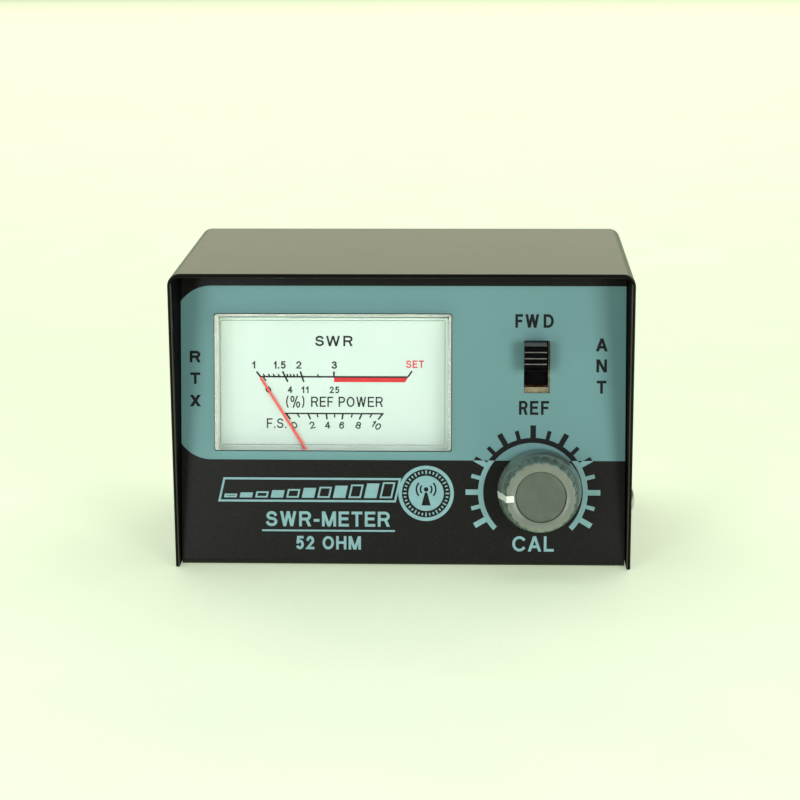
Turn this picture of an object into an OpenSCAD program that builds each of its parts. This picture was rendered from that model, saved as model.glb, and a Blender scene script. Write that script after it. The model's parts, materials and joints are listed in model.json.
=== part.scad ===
// SWR meter for two-way radio: folded steel case, moving-coil meter, calibration knob, slide switch,
// two coaxial sockets and a coupler board. Millimetres. X to the right, Y to the back, Z up.
// The origin is the centre of the chassis's underside.

/* [Case] */
// Outer width of the cover
case_w = 108; // [106:0.5:112]
// Outer height of the cover
case_h = 71; // [70:0.5:74]
// Depth of the cover, front edge to back edge
case_d = 64; // [62:0.5:70]
// Thickness of the cover's sheet
cover_t = 1; // [0.8:0.1:1.2]
// Outer radius of the cover's two top corners
cover_r = 2.9; // [2:0.1:4]
// Thickness of the chassis's sheet
chassis_t = 1; // [0.8:0.1:1]
// Angle by which the front panel leans back
panel_tilt = 10.1; // [9:0.1:11]
// How far the panel's foot stands behind the cover's front edge
panel_setback = 1.83; // [1.5:0.1:2.5]
// How far the rear panel stands inside the cover's back edge
rear_setback = 1.5; // [1:0.1:2]

/* [Front panel layout: x from the middle, s up the panel from its foot] */
// Middle of the meter, x
meter_x = -16.6; // [-18:0.1:-16]
// Needle's axis, s
pivot_s = 17.9; // [17.5:0.1:18.5]
// Middle of the meter's window, s
lens_s = 43.8; // [43:0.1:44]
// Width of the lens
lens_w = 55.8; // [54:0.1:56]
// Height of the lens
lens_h = 32; // [31:0.1:32.4]
// Calibration knob's axis, x
knob_x = 32.5; // [31:0.1:33]
// Calibration knob's axis, s
knob_s = 18.3; // [17.5:0.1:18.5]
// Middle of the slide switch's slot, x
slot_x = 31.75; // [31:0.05:32]
// Middle of the slide switch's slot, s
slot_s = 47.66; // [47.5:0.02:47.8]

/* [Moving parts] */
// Angle of the needle at its left stop, from straight up the panel
needle_rest = 32.2; // [25:0.1:35]
// Length of the needle, from its axis to its tip
needle_len = 32.3; // [30:0.1:32.5]
// Diameter of the knob's skirt
knob_d = 19.9; // [19.5:0.1:20]
// Height of the knob's face above the panel
knob_h = 14.6; // [14:0.1:15]
// Travel of the slide switch
switch_travel = 3.7; // [3:0.1:3.7]

/* [Coaxial sockets] */
// Distance of each socket from the middle, x
socket_x = 24; // [22:0.5:25]
// Height of the sockets above the base
socket_z = 36; // [34:0.5:38]
// Major diameter of the barrel's 5/8-24 thread
barrel_d = 15.88; // [15.8:0.01:15.9]
// Length of the barrel beyond its flange
barrel_len = 12.7; // [11:0.1:13]
// Inner diameter of the barrel's mouth
mouth_d = 12.2; // [12:0.1:12.4]
// Bore of the centre contact
contact_bore = 4; // [3.9:0.05:4.1]

/* [Hidden] */
$fn = 48;

// case
side_gap = 0.3;                                  // chassis to cover, each side
chassis_w = case_w - 2 * (cover_t + side_gap);
bend_r = 1.4;                                    // outside radius of the chassis's folds
top_gap = 0.3;                                   // chassis edges to the cover's top
wall_top = case_h - cover_t - top_gap;
front_y = -case_d / 2 + panel_setback;           // panel's face where it meets z = 0
rear_y = case_d / 2 - rear_setback;              // rear panel's outer face
lean = tan(panel_tilt);
flange_h = 20;                                   // side flanges of the chassis
screw_y = [-15, 19];                             // cover screws along the depth
screw_z = 12.5;
screw_r = 1.5;                                   // M3 throughout
stud_r = 1.5;
nut_af = 5.5;                                    // M3 nut across flats
nut_t = 2.4;

// meter, heights along its axis measured from the panel's face
lens_t = 1.2;
lens_out = 2.2;
lens_corner = 0.4;
flange_z = -chassis_t;                           // lens flange touches the panel's back
flange_t = 1;
house_w = 57.8;
house_s = [6.5, 60.8];
house_wall = 1.4;
house_back = -26.4;
bridge_z = -2.4;
bridge_t = 0.8;
bridge_w = 5;
bridge_half = 9.8;
rear_bridge_z = [-24, -23.2];
jewel_r = 1.1;
jewel_bore = 0.45;
terminal_x = 20;                                 // terminals, from the meter's middle
terminal_s = 13.6;
needle_z = -4.9;
needle_t = 0.4;
dial_z = -5.4;
dial_t = 0.4;
coil_z = -6.8;
coil_len = 14;
coil_r = 6.2;
coil_t = 0.9;
coil_w = 1.6;
needle_side = -0.62;                             // needle's middle line beside its axis
hub_r = 1.25;
staff_r = 0.4;                                   // pivots' radius
spring_z = [-6.3, -21.9];
core_r = 4.7;
magnet_z = [-19.2, -8.4];
yoke_z = -9;
yoke_len = 9.6;
yoke_r = [6.9, 9.8];
yoke_screw_r = 8.35;                             // from the axis to each screw
yoke_screw = 0.8;                                // their radius
strap_half = 33;                                 // strap's studs from the meter's middle
strap_s = 34;
strap_w = 12;
strap_t = 0.8;

// potentiometer
shaft_r = 3;
shaft_top = 11.6;
shaft_gap = 0.05;
bushing_r = 3.5;
bushing_top = 5;
can_r = 10.4;
can_back = -11;
wafer_t = 1.6;
knob_base = 0.9;
knob_waist = 9.1;                                // radius where the flutes begin
knob_top_r = 8.15;
flute_z = 7.2;
flutes = 21;
cap_r = 5.9;
pointer_half = 0.75;
pointer_r = [6.3, 7.6];                          // inlaid mark, from the knob's axis
pointer_a = 94;                                  // pointer at rest, from straight up, to the left

// slide switch
slot_w = 6.15;
slot_h = 12.4;
window_x = [28.6, 34.4];                         // frame's own opening
window_s = [42.8, 54.3];
switch_x = 31.4;
switch_s = 48.6;
ear_pitch = 29;
frame_t = 0.6;
frame_half = [6.4, 11.3];
block_w = 5.2;
block_h = 6.9;
block_out = 6;
block_s = window_s[0] + 0.2 + switch_travel + block_h / 2;    // block's middle, at FWD

// sockets and board
flange_sq = 25.4;
flange_pl = 1.6;
hole_pitch = 18.2;
insul_front = rear_y + flange_pl + barrel_len - 7.5;
board_y = 20.4;                                  // board's front face
board_t = 1.6;
board_w = 76;
board_z = [21, 51];

// colours
black_paint = [0.13, 0.13, 0.12];
panel_blue = [0.45, 0.63, 0.62];
clear_plastic = [0.85, 0.9, 0.85, 0.5];
dark_plastic = [0.1, 0.1, 0.11];
steel = [0.62, 0.63, 0.64];
zinc_yellow = [0.78, 0.66, 0.38];
brass = [0.8, 0.66, 0.35];
copper = [0.8, 0.45, 0.28];
phenolic = [0.55, 0.36, 0.18];
needle_red = [0.85, 0.3, 0.25];

// ---- helpers ----
// x to the right, y up the panel, z out of the panel; the panel's face is z = 0
module on_panel(x = 0, s = 0)
    translate([0, front_y, 0]) rotate([90 - panel_tilt, 0, 0]) translate([x, s, 0]) children();
// the meter's axis is the local z axis
module on_meter() on_panel(meter_x, pivot_s) children();
// what turns with the needle, drawn with the needle straight up the panel
module on_needle() on_meter() rotate([0, 0, needle_rest]) children();
module on_knob() on_panel(knob_x, knob_s) children();
// z runs backwards, out of the rear panel, with its outer face at z = 0
module on_rear(x, z) translate([x, rear_y, z]) rotate([-90, 0, 0]) children();

module block(x, s, z) translate([x[0], s[0], z[0]]) cube([x[1] - x[0], s[1] - s[0], z[1] - z[0]]);
module rod(r, z) translate([0, 0, z[0]]) cylinder(r = r, h = z[1] - z[0]);
module tube(ro, ri, z) difference() {
    rod(ro, z);
    translate([0, 0, z[0] - 1]) cylinder(r = ri, h = z[1] - z[0] + 2);
}
module hex(af, z, bore) difference() {
    translate([0, 0, z[0]]) cylinder(r = af / sqrt(3), h = z[1] - z[0], $fn = 6);
    translate([0, 0, z[0] - 1]) cylinder(r = bore, h = z[1] - z[0] + 2);
}
function arc(c, r, a, b, n = 8) = [for (i = [0 : n]) let (t = a + (b - a) * i / n)
    c + r * [cos(t), sin(t)]];
function flip(p) = [for (i = [len(p) - 1 : -1 : 0]) p[i]];
module rounded_rect(w, h, r) polygon(concat(
    arc([w / 2 - r, h / 2 - r], r, 0, 90), arc([r - w / 2, h / 2 - r], r, 90, 180),
    arc([r - w / 2, r - h / 2], r, 180, 270), arc([w / 2 - r, r - h / 2], r, 270, 360)));
module pie(r, a, b) polygon(concat([[0, 0]], arc([0, 0], r, a, b, 12)));

// ---- case ----
module cover_profile() {
    ri = cover_r - cover_t;
    cx = case_w / 2 - cover_r;
    cz = case_h - cover_r;
    polygon(concat(
        [[case_w / 2, 0]], arc([cx, cz], cover_r, 0, 90), arc([-cx, cz], cover_r, 90, 180),
        [[-case_w / 2, 0], [cover_t - case_w / 2, 0]],
        flip(arc([-cx, cz], ri, 90, 180)), flip(arc([cx, cz], ri, 0, 90)),
        [[case_w / 2 - cover_t, 0]]));
}
module at_cover_screws() for (side = [-1, 1], y = screw_y)
    translate([side * case_w / 2, y, screw_z]) rotate([0, side * 90, 0]) children();
module cover() color(black_paint) difference() {
    translate([0, case_d / 2, 0]) rotate([90, 0, 0]) linear_extrude(case_d) cover_profile();
    at_cover_screws() translate([0, 0, -cover_t - 1]) cylinder(r = 1.7, h = cover_t + 2);
}
module cover_screws() color(steel) at_cover_screws() {
    rod(3, [0, 1.1]);
    translate([0, 0, 1.1]) cylinder(r1 = 3, r2 = 2.1, h = 0.7);
    rod(screw_r, [-5, 0]);
}

// side view of the folded sheet: depth, then height
module chassis_profile() {
    ri = bend_r - chassis_t;
    fc = [front_y + bend_r * lean + bend_r / cos(panel_tilt), bend_r];
    rc = [rear_y - bend_r, bend_r];
    face_top = [front_y + wall_top * lean, wall_top];
    back_top = face_top + [chassis_t / cos(panel_tilt), 0];
    polygon(concat(
        [face_top], arc(fc, bend_r, 180 - panel_tilt, 270), arc(rc, bend_r, 270, 360),
        [[rear_y, wall_top], [rear_y - chassis_t, wall_top]],
        flip(arc(rc, ri, 270, 360)), flip(arc(fc, ri, 180 - panel_tilt, 270)), [back_top]));
}
module side_flange(side) {
    x = side * (chassis_w / 2 - chassis_t / 2);
    translate([x, 0, 0]) rotate([90, 0, 90]) linear_extrude(chassis_t, center = true)
        polygon([[front_y + 5, 0.5], [rear_y - 5, 0.5], [rear_y - 5, flange_h],
                 [front_y + flange_h * lean + 5, flange_h]]);
}
module panel_cuts() {
    on_panel(meter_x, lens_s) translate([0, 0, -3])
        linear_extrude(6) rounded_rect(lens_w + 0.4, lens_h + 0.4, lens_corner);
    on_panel(slot_x, slot_s) translate([-slot_w / 2, -slot_h / 2, -3]) cube([slot_w, slot_h, 6]);
    on_knob() rod(bushing_r + 0.1, [-3, 3]);
}
module at_sockets() for (x = [-socket_x, socket_x]) on_rear(x, socket_z) children();
module at_socket_screws() at_sockets() for (i = [-1, 1], j = [-1, 1])
    translate([i, j, 0] * hole_pitch / 2) children();
module chassis() color(panel_blue) difference() {
    union() {
        rotate([90, 0, 90]) linear_extrude(chassis_w, center = true) chassis_profile();
        side_flange(-1);
        side_flange(1);
    }
    panel_cuts();
    // clears the cover's inner corners
    for (side = [-1, 1]) translate([side * chassis_w / 2, 0, wall_top]) rotate([90, 0, 0])
        cylinder(r = 1.6, h = case_d, center = true, $fn = 4);
    at_sockets() rod(8.1, [-3, 3]);
    at_socket_screws() rod(screw_r + 0.1, [-3, 3]);
    at_cover_screws() rod(screw_r, [-4, 0]);
}
module panel_studs() color(steel) {
    for (side = [-1, 1]) {
        on_panel(meter_x + side * strap_half, strap_s) rod(stud_r, [-7, -chassis_t]);
        on_panel(switch_x, switch_s + side * ear_pitch / 2) rod(stud_r, [-5.5, -chassis_t]);
    }
}

// ---- meter, fixed parts ----
module meter_lens() color(clear_plastic) {
    house_mid = (house_s[0] + house_s[1]) / 2 - lens_s;
    house_h = house_s[1] - house_s[0];
    on_panel(meter_x, lens_s) difference() {
        union() {
            translate([0, 0, flange_z - flange_t]) linear_extrude(lens_out - flange_z + flange_t)
                rounded_rect(lens_w, lens_h, lens_corner);
            translate([-house_w / 2, house_mid - house_h / 2, flange_z - flange_t])
                cube([house_w, house_h, flange_t]);
        }
        translate([0, 0, flange_z - flange_t - 1])
            linear_extrude(lens_out - lens_t - flange_z + flange_t + 1)
            rounded_rect(lens_w - 2 * lens_t, lens_h - 2 * lens_t, lens_corner);
    }
}
module meter_housing() color(dark_plastic) on_panel(meter_x, 0) {
    w = house_w / 2;
    z = [house_back, flange_z - flange_t];
    difference() {
        block([-w, w], house_s, z);
        block([house_wall - w, w - house_wall], house_s + [house_wall, -house_wall],
              [house_back + house_wall, 1]);
        for (side = [-1, 1]) translate([side * terminal_x, terminal_s, 0])
            rod(stud_r, [house_back - 1, house_back + house_wall + 1]);
    }
    for (side = [-1, 1]) {
        translate([side * (w - house_wall - 1.1), 0, 0])
            block([-1.15, 1.15], [26, 58.6], [house_back + house_wall - 0.1, dial_z - dial_t]);
        translate([0, pivot_s + side * yoke_screw_r, 0])
            tube(1.6, yoke_screw, [house_back + house_wall - 0.1, yoke_z - yoke_len]);
    }
}
module meter_dial() color("ivory") on_panel(meter_x, 0) difference() {
    block([-27.3, 27.3], [24.6, 59.1], [dial_z - dial_t, dial_z]);
    translate([0, pivot_s, 0]) rod(7.6, [dial_z - 2, dial_z + 2]);
}
module meter_strap() color(steel) {
    inner = house_w / 2 + 0.3;
    foot = strap_half + 2.8;
    back = house_back - strap_t;
    zf = -chassis_t;
    on_panel(meter_x, strap_s) difference() {
        rotate([90, 0, 0]) linear_extrude(strap_w, center = true) polygon([
            [foot, zf], [inner, zf], [inner, house_back], [-inner, house_back], [-inner, zf],
            [-foot, zf], [-foot, zf - strap_t], [-inner - strap_t, zf - strap_t],
            [-inner - strap_t, back], [inner + strap_t, back], [inner + strap_t, zf - strap_t],
            [foot, zf - strap_t]]);
        for (side = [-1, 1]) translate([side * strap_half, 0, 0]) rod(stud_r + 0.1, [-4, 0]);
    }
}
module strap_nuts() color(steel) for (side = [-1, 1])
    on_panel(meter_x + side * strap_half, strap_s)
        rotate(30) hex(nut_af, [-chassis_t - strap_t - nut_t, -chassis_t - strap_t], stud_r);
module meter_yoke() color(steel) on_meter() difference() {
    tube(yoke_r[1], yoke_r[0], [yoke_z - yoke_len, yoke_z]);
    for (side = [-1, 1]) translate([0, side * yoke_screw_r, 0]) rod(yoke_screw, [-30, 0]);
}
module yoke_screws() color(steel) on_meter() for (side = [-1, 1])
    translate([0, side * yoke_screw_r, 0]) {
        rod(yoke_screw, [yoke_z - yoke_len - 4, yoke_z]);
        rod(1.4, [yoke_z, yoke_z + 0.9]);
    }
module meter_magnet() color([0.4, 0.4, 0.42]) on_meter() rod(core_r, magnet_z);
module core_holder() color(brass) on_meter() intersection() {
    tube(yoke_r[0], core_r, [yoke_z - yoke_len, yoke_z]);
    union() for (a = [60, 240]) translate([0, 0, yoke_z - yoke_len - 1])
        linear_extrude(yoke_len + 2) pie(9, a, a + 60);
}
// a bar across the yoke on two legs; the jewel screw goes through its middle
module bridge(bar, leg) {
    difference() {
        block([-bridge_half, bridge_half], [-bridge_w / 2, bridge_w / 2], bar);
        rod(jewel_r, [-40, 0]);
    }
    for (side = [-1, 1]) translate([side * (bridge_half - 1), 0, 0])
        block([-1, 1], [-bridge_w / 2, bridge_w / 2], leg);
}
module front_bridge() color(brass) on_meter()
    bridge([bridge_z - bridge_t, bridge_z], [yoke_z, bridge_z - bridge_t]);
module rear_bridge() color(brass) on_meter()
    bridge(rear_bridge_z, [rear_bridge_z[1], yoke_z - yoke_len]);
module jewel_screws() color(brass) on_meter() {
    difference() {
        rod(jewel_r, [bridge_z - 1.6, bridge_z + 0.25]);
        rod(jewel_bore, [bridge_z - 3, bridge_z - 1]);
    }
    difference() {
        rod(jewel_r, rear_bridge_z + [-0.6, 0.6]);
        rod(jewel_bore, [rear_bridge_z[1] - 0.1, rear_bridge_z[1] + 2]);
    }
}
module at_terminals() for (side = [-1, 1]) on_panel(meter_x + side * terminal_x, terminal_s)
    children();
module meter_terminals() color(brass) at_terminals() {
    rod(stud_r, [-33, -23]);
    rod(2.6, [-25, -24]);
}
module meter_terminal_nuts() color(steel) at_terminals() {
    hex(nut_af, [house_back - nut_t, house_back], stud_r);
    difference() {
        union() {
            rod(3, [house_back - nut_t - 0.5, house_back - nut_t]);
            block([-1.2, 1.2], [0, 8], [house_back - nut_t - 0.5, house_back - nut_t]);
        }
        rod(stud_r, [-40, 0]);
    }
}

// ---- meter, moving parts ----
module meter_needle() color(needle_red) on_needle() {
    tube(hub_r, staff_r, [needle_z - 0.2, needle_z + needle_t + 0.2]);
    translate([needle_side, 0, needle_z]) linear_extrude(needle_t) polygon([
        [-0.45, 0.8], [-0.28, needle_len - 0.5], [0, needle_len], [0.28, needle_len - 0.5],
        [0.45, 0.8]]);
}
module needle_balance() color(brass) on_needle() {
    block([-0.35, 0.35], [-6.6, -hub_r], [needle_z, needle_z + needle_t]);
    translate([0, -4.9, 0]) rod(1.05, [needle_z - 0.4, needle_z + needle_t + 0.5]);
}
module meter_coil() color(copper) on_needle() difference() {
    block([-coil_r, coil_r], [-coil_w / 2, coil_w / 2], [coil_z - coil_len, coil_z]);
    block([coil_t - coil_r, coil_r - coil_t], [-coil_w, coil_w],
          [coil_z - coil_len + 1, coil_z - 1]);
}
module meter_pivots() color(steel) on_needle() {
    rod(staff_r, [coil_z, bridge_z - 1.1]);
    rod(staff_r, [rear_bridge_z[1], coil_z - coil_len]);
}
// flat spiral from the staff to an outer end
module hairspring(z, turns = 3) translate([0, 0, z]) linear_extrude(0.5) {
    n = turns * 24;
    r0 = 0.75;
    pitch = 1;
    wire = 0.14;
    polygon(concat(
        [for (i = [0 : n]) let (a = i * 15) (r0 + pitch * i / 24) * [cos(a), sin(a)]],
        [for (i = [n : -1 : 0]) let (a = i * 15)
            (r0 + wire + pitch * i / 24) * [cos(a), sin(a)]]));
    difference() {
        circle(r = 0.85);
        circle(r = staff_r);
    }
}
module front_hairspring() color(brass) on_needle() hairspring(spring_z[0]);
module rear_hairspring() color(brass) on_needle() hairspring(spring_z[1]);

// ---- calibration knob and potentiometer ----
module cal_knob() color(dark_plastic) on_knob() difference() {
    union() {
        translate([0, 0, knob_base]) cylinder(r1 = knob_d / 2, r2 = knob_waist, h = flute_z - knob_base);
        translate([0, 0, flute_z]) cylinder(r1 = knob_waist - 0.15, r2 = knob_top_r,
            h = knob_h - 0.5 - flute_z);
        translate([0, 0, knob_h - 0.5]) cylinder(r1 = knob_top_r, r2 = knob_top_r - 0.35, h = 0.5);
    }
    rod(7.2, [0, 5.6]);
    rod(shaft_r, [5, shaft_top]);
    rod(cap_r, [knob_h - 0.8, knob_h + 1]);
    for (i = [0 : flutes - 1]) rotate([0, 0, pointer_a + 90 + 360 * (i + 0.5) / flutes])
        translate([9, 0, flute_z + 0.5]) rotate([0, -5, 0]) cylinder(r = 0.6, h = 9);
    rotate([0, 0, pointer_a + 90])
        block(pointer_r, [-1, 1] * pointer_half, [knob_h - 0.5, knob_h + 1]);
}
module knob_cap() color([0.6, 0.61, 0.6]) on_knob() rod(cap_r, [knob_h - 0.8, knob_h - 0.3]);
module knob_pointer() color("white") on_knob() rotate([0, 0, pointer_a + 90])
    block(pointer_r, [-1, 1] * pointer_half, [knob_h - 0.5, knob_h - 0.02]);
module pot_shaft() color(steel) on_knob() rod(shaft_r, [-9.5, shaft_top]);
module pot_wiper() color(brass) on_knob() rotate([0, 0, pointer_a + 90]) {
    tube(4.6, shaft_r, [-6.2, -4.8]);
    block([4.4, 9.2], [-1.2, 1.2], [-5.4, -4.9]);
    translate([7.7, 0, 0]) rod(0.6, [-4.95, -4.35]);
}
module pot_bushing() color(brass) on_knob() difference() {
    union() {
        rod(7.5, [-2.5, -chassis_t]);
        rod(bushing_r, [-2, bushing_top]);
    }
    rod(shaft_r + shaft_gap, [-5, 9]);
}
module pot_washer() color(steel) on_knob() tube(6, bushing_r + 0.1, [0, 0.6]);
module pot_nut() color(steel) on_knob() hex(10, [0.6, 2.8], bushing_r);
module pot_wafer() color(phenolic) on_knob() difference() {
    union() {
        rod(10, [-2.5 - wafer_t, -2.5]);
        block([5, 13], [-6.5, 6.5], [-2.5 - wafer_t, -2.5]);
    }
    rod(4, [-10, 0]);
}
module pot_track() color([0.08, 0.08, 0.08]) on_knob() intersection() {
    tube(9, 6.4, [-4.25, -4.1]);
    translate([0, 0, -5]) linear_extrude(2) rotate(30) union() {
        pie(20, 0, 75);
        pie(20, 75, 150);
        pie(20, 150, 225);
        pie(20, 225, 300);
    }
}
module pot_lugs() color(steel) on_knob() for (s = [-4.5, 0, 4.5]) translate([0, s, 0]) {
    block([10.8, 16], [-0.8, 0.8], [-4.6, -4.1]);
}
module pot_can() color(steel) on_knob() difference() {
    rod(can_r, [can_back, -2.5]);
    rod(10.05, [can_back + 0.5, 0]);
    block([5, 12], [-6.8, 6.8], [-5.6, 0]);
}

// ---- slide switch ----
module on_switch() on_panel(switch_x, switch_s) children();
module switch_frame() color(zinc_yellow) {
    z = -chassis_t;
    ear = ear_pitch / 2 + 3.2;
    difference() {
        union() {
            on_switch() block([-1, 1] * frame_half[0], [-1, 1] * frame_half[1], [z - frame_t, z]);
            on_switch() block([-3.4, 3.4], [-ear, ear], [z - frame_t, z]);
            for (side = [-1, 1]) on_switch() translate([side * (frame_half[0] - 0.25), 0, 0])
                block([-0.25, 0.25], [-1, 1] * frame_half[1], [-9, z]);
        }
        on_panel() block(window_x, window_s, [-3, 3]);
        for (side = [-1, 1]) on_switch() translate([0, side * ear_pitch / 2, 0])
            rod(stud_r + 0.1, [-3, 3]);
    }
}
module switch_slider() color(dark_plastic) {
    on_panel(slot_x - 0.39, block_s) {
        difference() {
            block([-block_w / 2, block_w / 2], [-block_h / 2, block_h / 2], [-1.8, block_out]);
            for (i = [-2 : 2]) translate([0, i * 1.3, block_out]) rotate([0, 90, 0])
                cylinder(r = 0.32, h = 10, center = true);
        }
    }
    on_panel(switch_x, block_s) block([-5.5, 5.5], [-7, 7], [-5.2, -1.8]);
}
module switch_contacts() color(brass) on_panel(switch_x, block_s)
    for (x = [-3, 3]) translate([x, 0, 0]) {
        block([-0.8, 0.8], [-4.6, 4.6], [-5.6, -5.2]);
        for (s = [-3.8, 3.8]) translate([0, s, 0]) block([-0.8, 0.8], [-0.8, 0.8], [-6.7, -5.6]);
    }
module switch_base() color(phenolic) on_switch() block([-5.9, 5.9], [-11, 11], [-9, -7.4]);
module switch_terminals() color(steel) on_switch() for (x = [-3, 3], s = [-5.6, 0, 5.6])
    translate([x, s, 0]) {
        block([-0.8, 0.8], [-1.2, 1.2], [-7.4, -7]);
        block([-0.25, 0.25], [-0.9, 0.9], [-13, -9]);
    }
module switch_nuts() color(steel) for (side = [-1, 1])
    on_panel(switch_x, switch_s + side * ear_pitch / 2)
        hex(nut_af, [-chassis_t - frame_t - nut_t, -chassis_t - frame_t], stud_r);

// ---- coaxial sockets ----
module socket_shell(x) on_rear(x, socket_z) difference() {
    union() {
        linear_extrude(flange_pl) rounded_rect(flange_sq, flange_sq, 1.5);
        rod(barrel_d / 2, [0, flange_pl + barrel_len]);
        rod(8, [-4, 0]);
    }
    rod(mouth_d / 2, [-10, 30]);
    for (i = [-1, 1], j = [-1, 1]) translate([i, j, 0] * hole_pitch / 2)
        rod(screw_r + 0.1, [-3, 3]);
}
module socket_insulator(x) on_rear(x, socket_z)
    tube(mouth_d / 2, 2.9, [-6, insul_front - rear_y]);
module socket_contact(x) on_rear(x, socket_z) difference() {
    union() {
        rod(2.9, [-7, insul_front - rear_y + 0.5]);
        rod(1.2, [board_y - rear_y - 1.2, -6.9]);
    }
    rod(contact_bore / 2, [-6, 30]);
}
module rtx_socket_shell() color(steel) socket_shell(-socket_x);
module rtx_insulator() color("white") socket_insulator(-socket_x);
module rtx_contact() color(brass) socket_contact(-socket_x);
module ant_socket_shell() color(steel) socket_shell(socket_x);
module ant_insulator() color("white") socket_insulator(socket_x);
module ant_contact() color(brass) socket_contact(socket_x);
module socket_screws() color(steel) at_socket_screws() {
    rod(2.8, [flange_pl, flange_pl + 1.8]);
    rod(screw_r, [-5.5, flange_pl]);
}
// lug, then nut, on the inside of the rear panel
module socket_nuts() color(steel) at_socket_screws()
    hex(nut_af, [-chassis_t - 0.5 - nut_t, -chassis_t - 0.5], screw_r);
module ground_lugs() color(zinc_yellow) at_sockets() for (i = [-1, 1], j = [-1, 1])
    translate([i, j, 0] * hole_pitch / 2) {
        tube(3.2, screw_r + 0.1, [-chassis_t - 0.5, -chassis_t]);
        block([-1.5, 1.5], j > 0 ? [3, 4.2] : [-4.2, -3], [-chassis_t - 0.5, -chassis_t]);
        block([-1.5, 1.5], j > 0 ? [3.7, 4.2] : [-4.2, -3.7],
              [board_y + board_t - rear_y, -chassis_t]);
    }

// ---- coupler board ----
// x to the right, y up, z forwards out of the board's front face
module on_board() translate([0, board_y, 0]) rotate([90, 0, 0]) children();
module coupler_board() color(phenolic) on_board() difference() {
    block([-board_w / 2, board_w / 2], board_z, [-board_t, 0]);
    for (x = [-socket_x, socket_x]) translate([x, socket_z, 0]) rod(1.25, [-5, 5]);
}
module coupler_lines() color(copper) on_board() difference() {
    union() {
        block([-27, 27], [socket_z - 1.8, socket_z + 1.8], [0, 0.1]);
        for (j = [-1, 1]) {
            translate([0, socket_z + j * 5.5, 0]) block([-20, 20], [-0.7, 0.7], [0, 0.1]);
        }
        translate([0, socket_z - 13, 0]) block([-36, 36], [-1.2, 1.2], [0, 0.1]);
        for (side = [-1, 1]) translate([side * 20, socket_z + 13, 0])
            block([-16, 16], [-1.2, 1.2], [0, 0.1]);
    }
    for (x = [-socket_x, socket_x]) translate([x, socket_z, 0]) rod(1.25, [-5, 5]);
}
// a body lying along the board with a bent lead at each end
module axial(r, len, span) {
    translate([-len / 2, 0, 1.6]) rotate([0, 90, 0]) cylinder(r = r, h = len);
    for (side = [-1, 1]) {
        translate([side * span / 2, 0, 0]) rod(0.3, [0.1, 1.9]);
        translate([side * (span + len) / 4, 0, 1.6]) rotate([0, 90, 0])
            cylinder(r = 0.3, h = (span - len) / 2 + 0.3, center = true);
    }
}
module coupler_diodes() color([0.75, 0.4, 0.25]) on_board() for (side = [-1, 1])
    translate([side * 19, socket_z + 9.2, 0]) axial(1.1, 6.5, 12);
module coupler_resistors() color([0.7, 0.55, 0.4]) on_board() for (side = [-1, 1])
    translate([side * 19, socket_z - 9.2, 0]) axial(1.15, 6.3, 12);
module coupler_capacitors() color([0.75, 0.5, 0.2]) on_board() for (side = [-1, 1])
    translate([side * 32, socket_z + 6, 0]) {
        translate([0, 0, 4.6]) rotate([0, 90, 0]) cylinder(r = 3, h = 2, center = true);
        for (s = [-1.8, 1.8]) translate([0, s, 0]) rod(0.3, [0.1, 3]);
    }

// ---- hook-up wire ----
wire_r = 0.65;
wires = [
    [[19, 19.9, 49], [19, 15, 50], [24, 6, 54], [31, -2, 53], [34.4, -6.5, 51.2], [34.4, -9.3, 51.2]],
    [[-19, 19.9, 49], [-17, 15, 51], [2, 11, 54], [24, 9, 47], [35.6, 0, 40.2], [35, -7, 40.2],
     [34.4, -11.2, 40.3]],
    [[28.4, -10.3, 45.8], [28, -6.5, 44.8], [28, -4, 38], [36, -5, 30], [44, -11, 25],
     [47.6, -17.5, 22.5], [47.6, -21.9, 21.7]],
    [[47.6, -22.7, 17.2], [47, -17, 16.5], [38, -4, 13], [20, 6, 13], [6, 6.5, 16.5], [3.4, 2.1, 15.6]],
    [[-36.6, 2.1, 15.6], [-36.6, 7, 15.5], [-37, 12, 18], [-35.5, 16, 22], [-35, 19.9, 23]]];
function spline(p, i, t) = let (a = p[max(i - 1, 0)], b = p[i], c = p[i + 1],
    d = p[min(i + 2, len(p) - 1)])
    0.5 * (2 * b + (c - a) * t + (2 * a - 5 * b + 4 * c - d) * t * t
           + (3 * b - a - 3 * c + d) * t * t * t);
function path(p, n) = concat([for (i = [0 : len(p) - 2], k = [0 : n - 1]) spline(p, i, k / n)],
    [p[len(p) - 1]]);
function unit(v) = v / norm(v);
module swept(p, r, sides = 8) {
    n = len(p);
    dirs = [for (i = [0 : n - 1]) unit(p[min(i + 1, n - 1)] - p[max(i - 1, 0)])];
    rings = [for (i = [0 : n - 1]) let (u = unit(cross(dirs[i], [0.31, 0.17, 0.93])),
        v = cross(dirs[i], u)) for (k = [0 : sides - 1])
        p[i] + r * (cos(360 * k / sides) * u + sin(360 * k / sides) * v)];
    polyhedron(rings, concat(
        [[for (k = [sides - 1 : -1 : 0]) k]], [[for (k = [0 : sides - 1]) (n - 1) * sides + k]],
        [for (i = [0 : n - 2], k = [0 : sides - 1]) let (a = i * sides + k,
            b = i * sides + (k + 1) % sides) [a, b, b + sides, a + sides]]));
}
module hookup_wires() color([0.75, 0.2, 0.15]) for (w = wires) swept(path(w, 4), wire_r);

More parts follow.
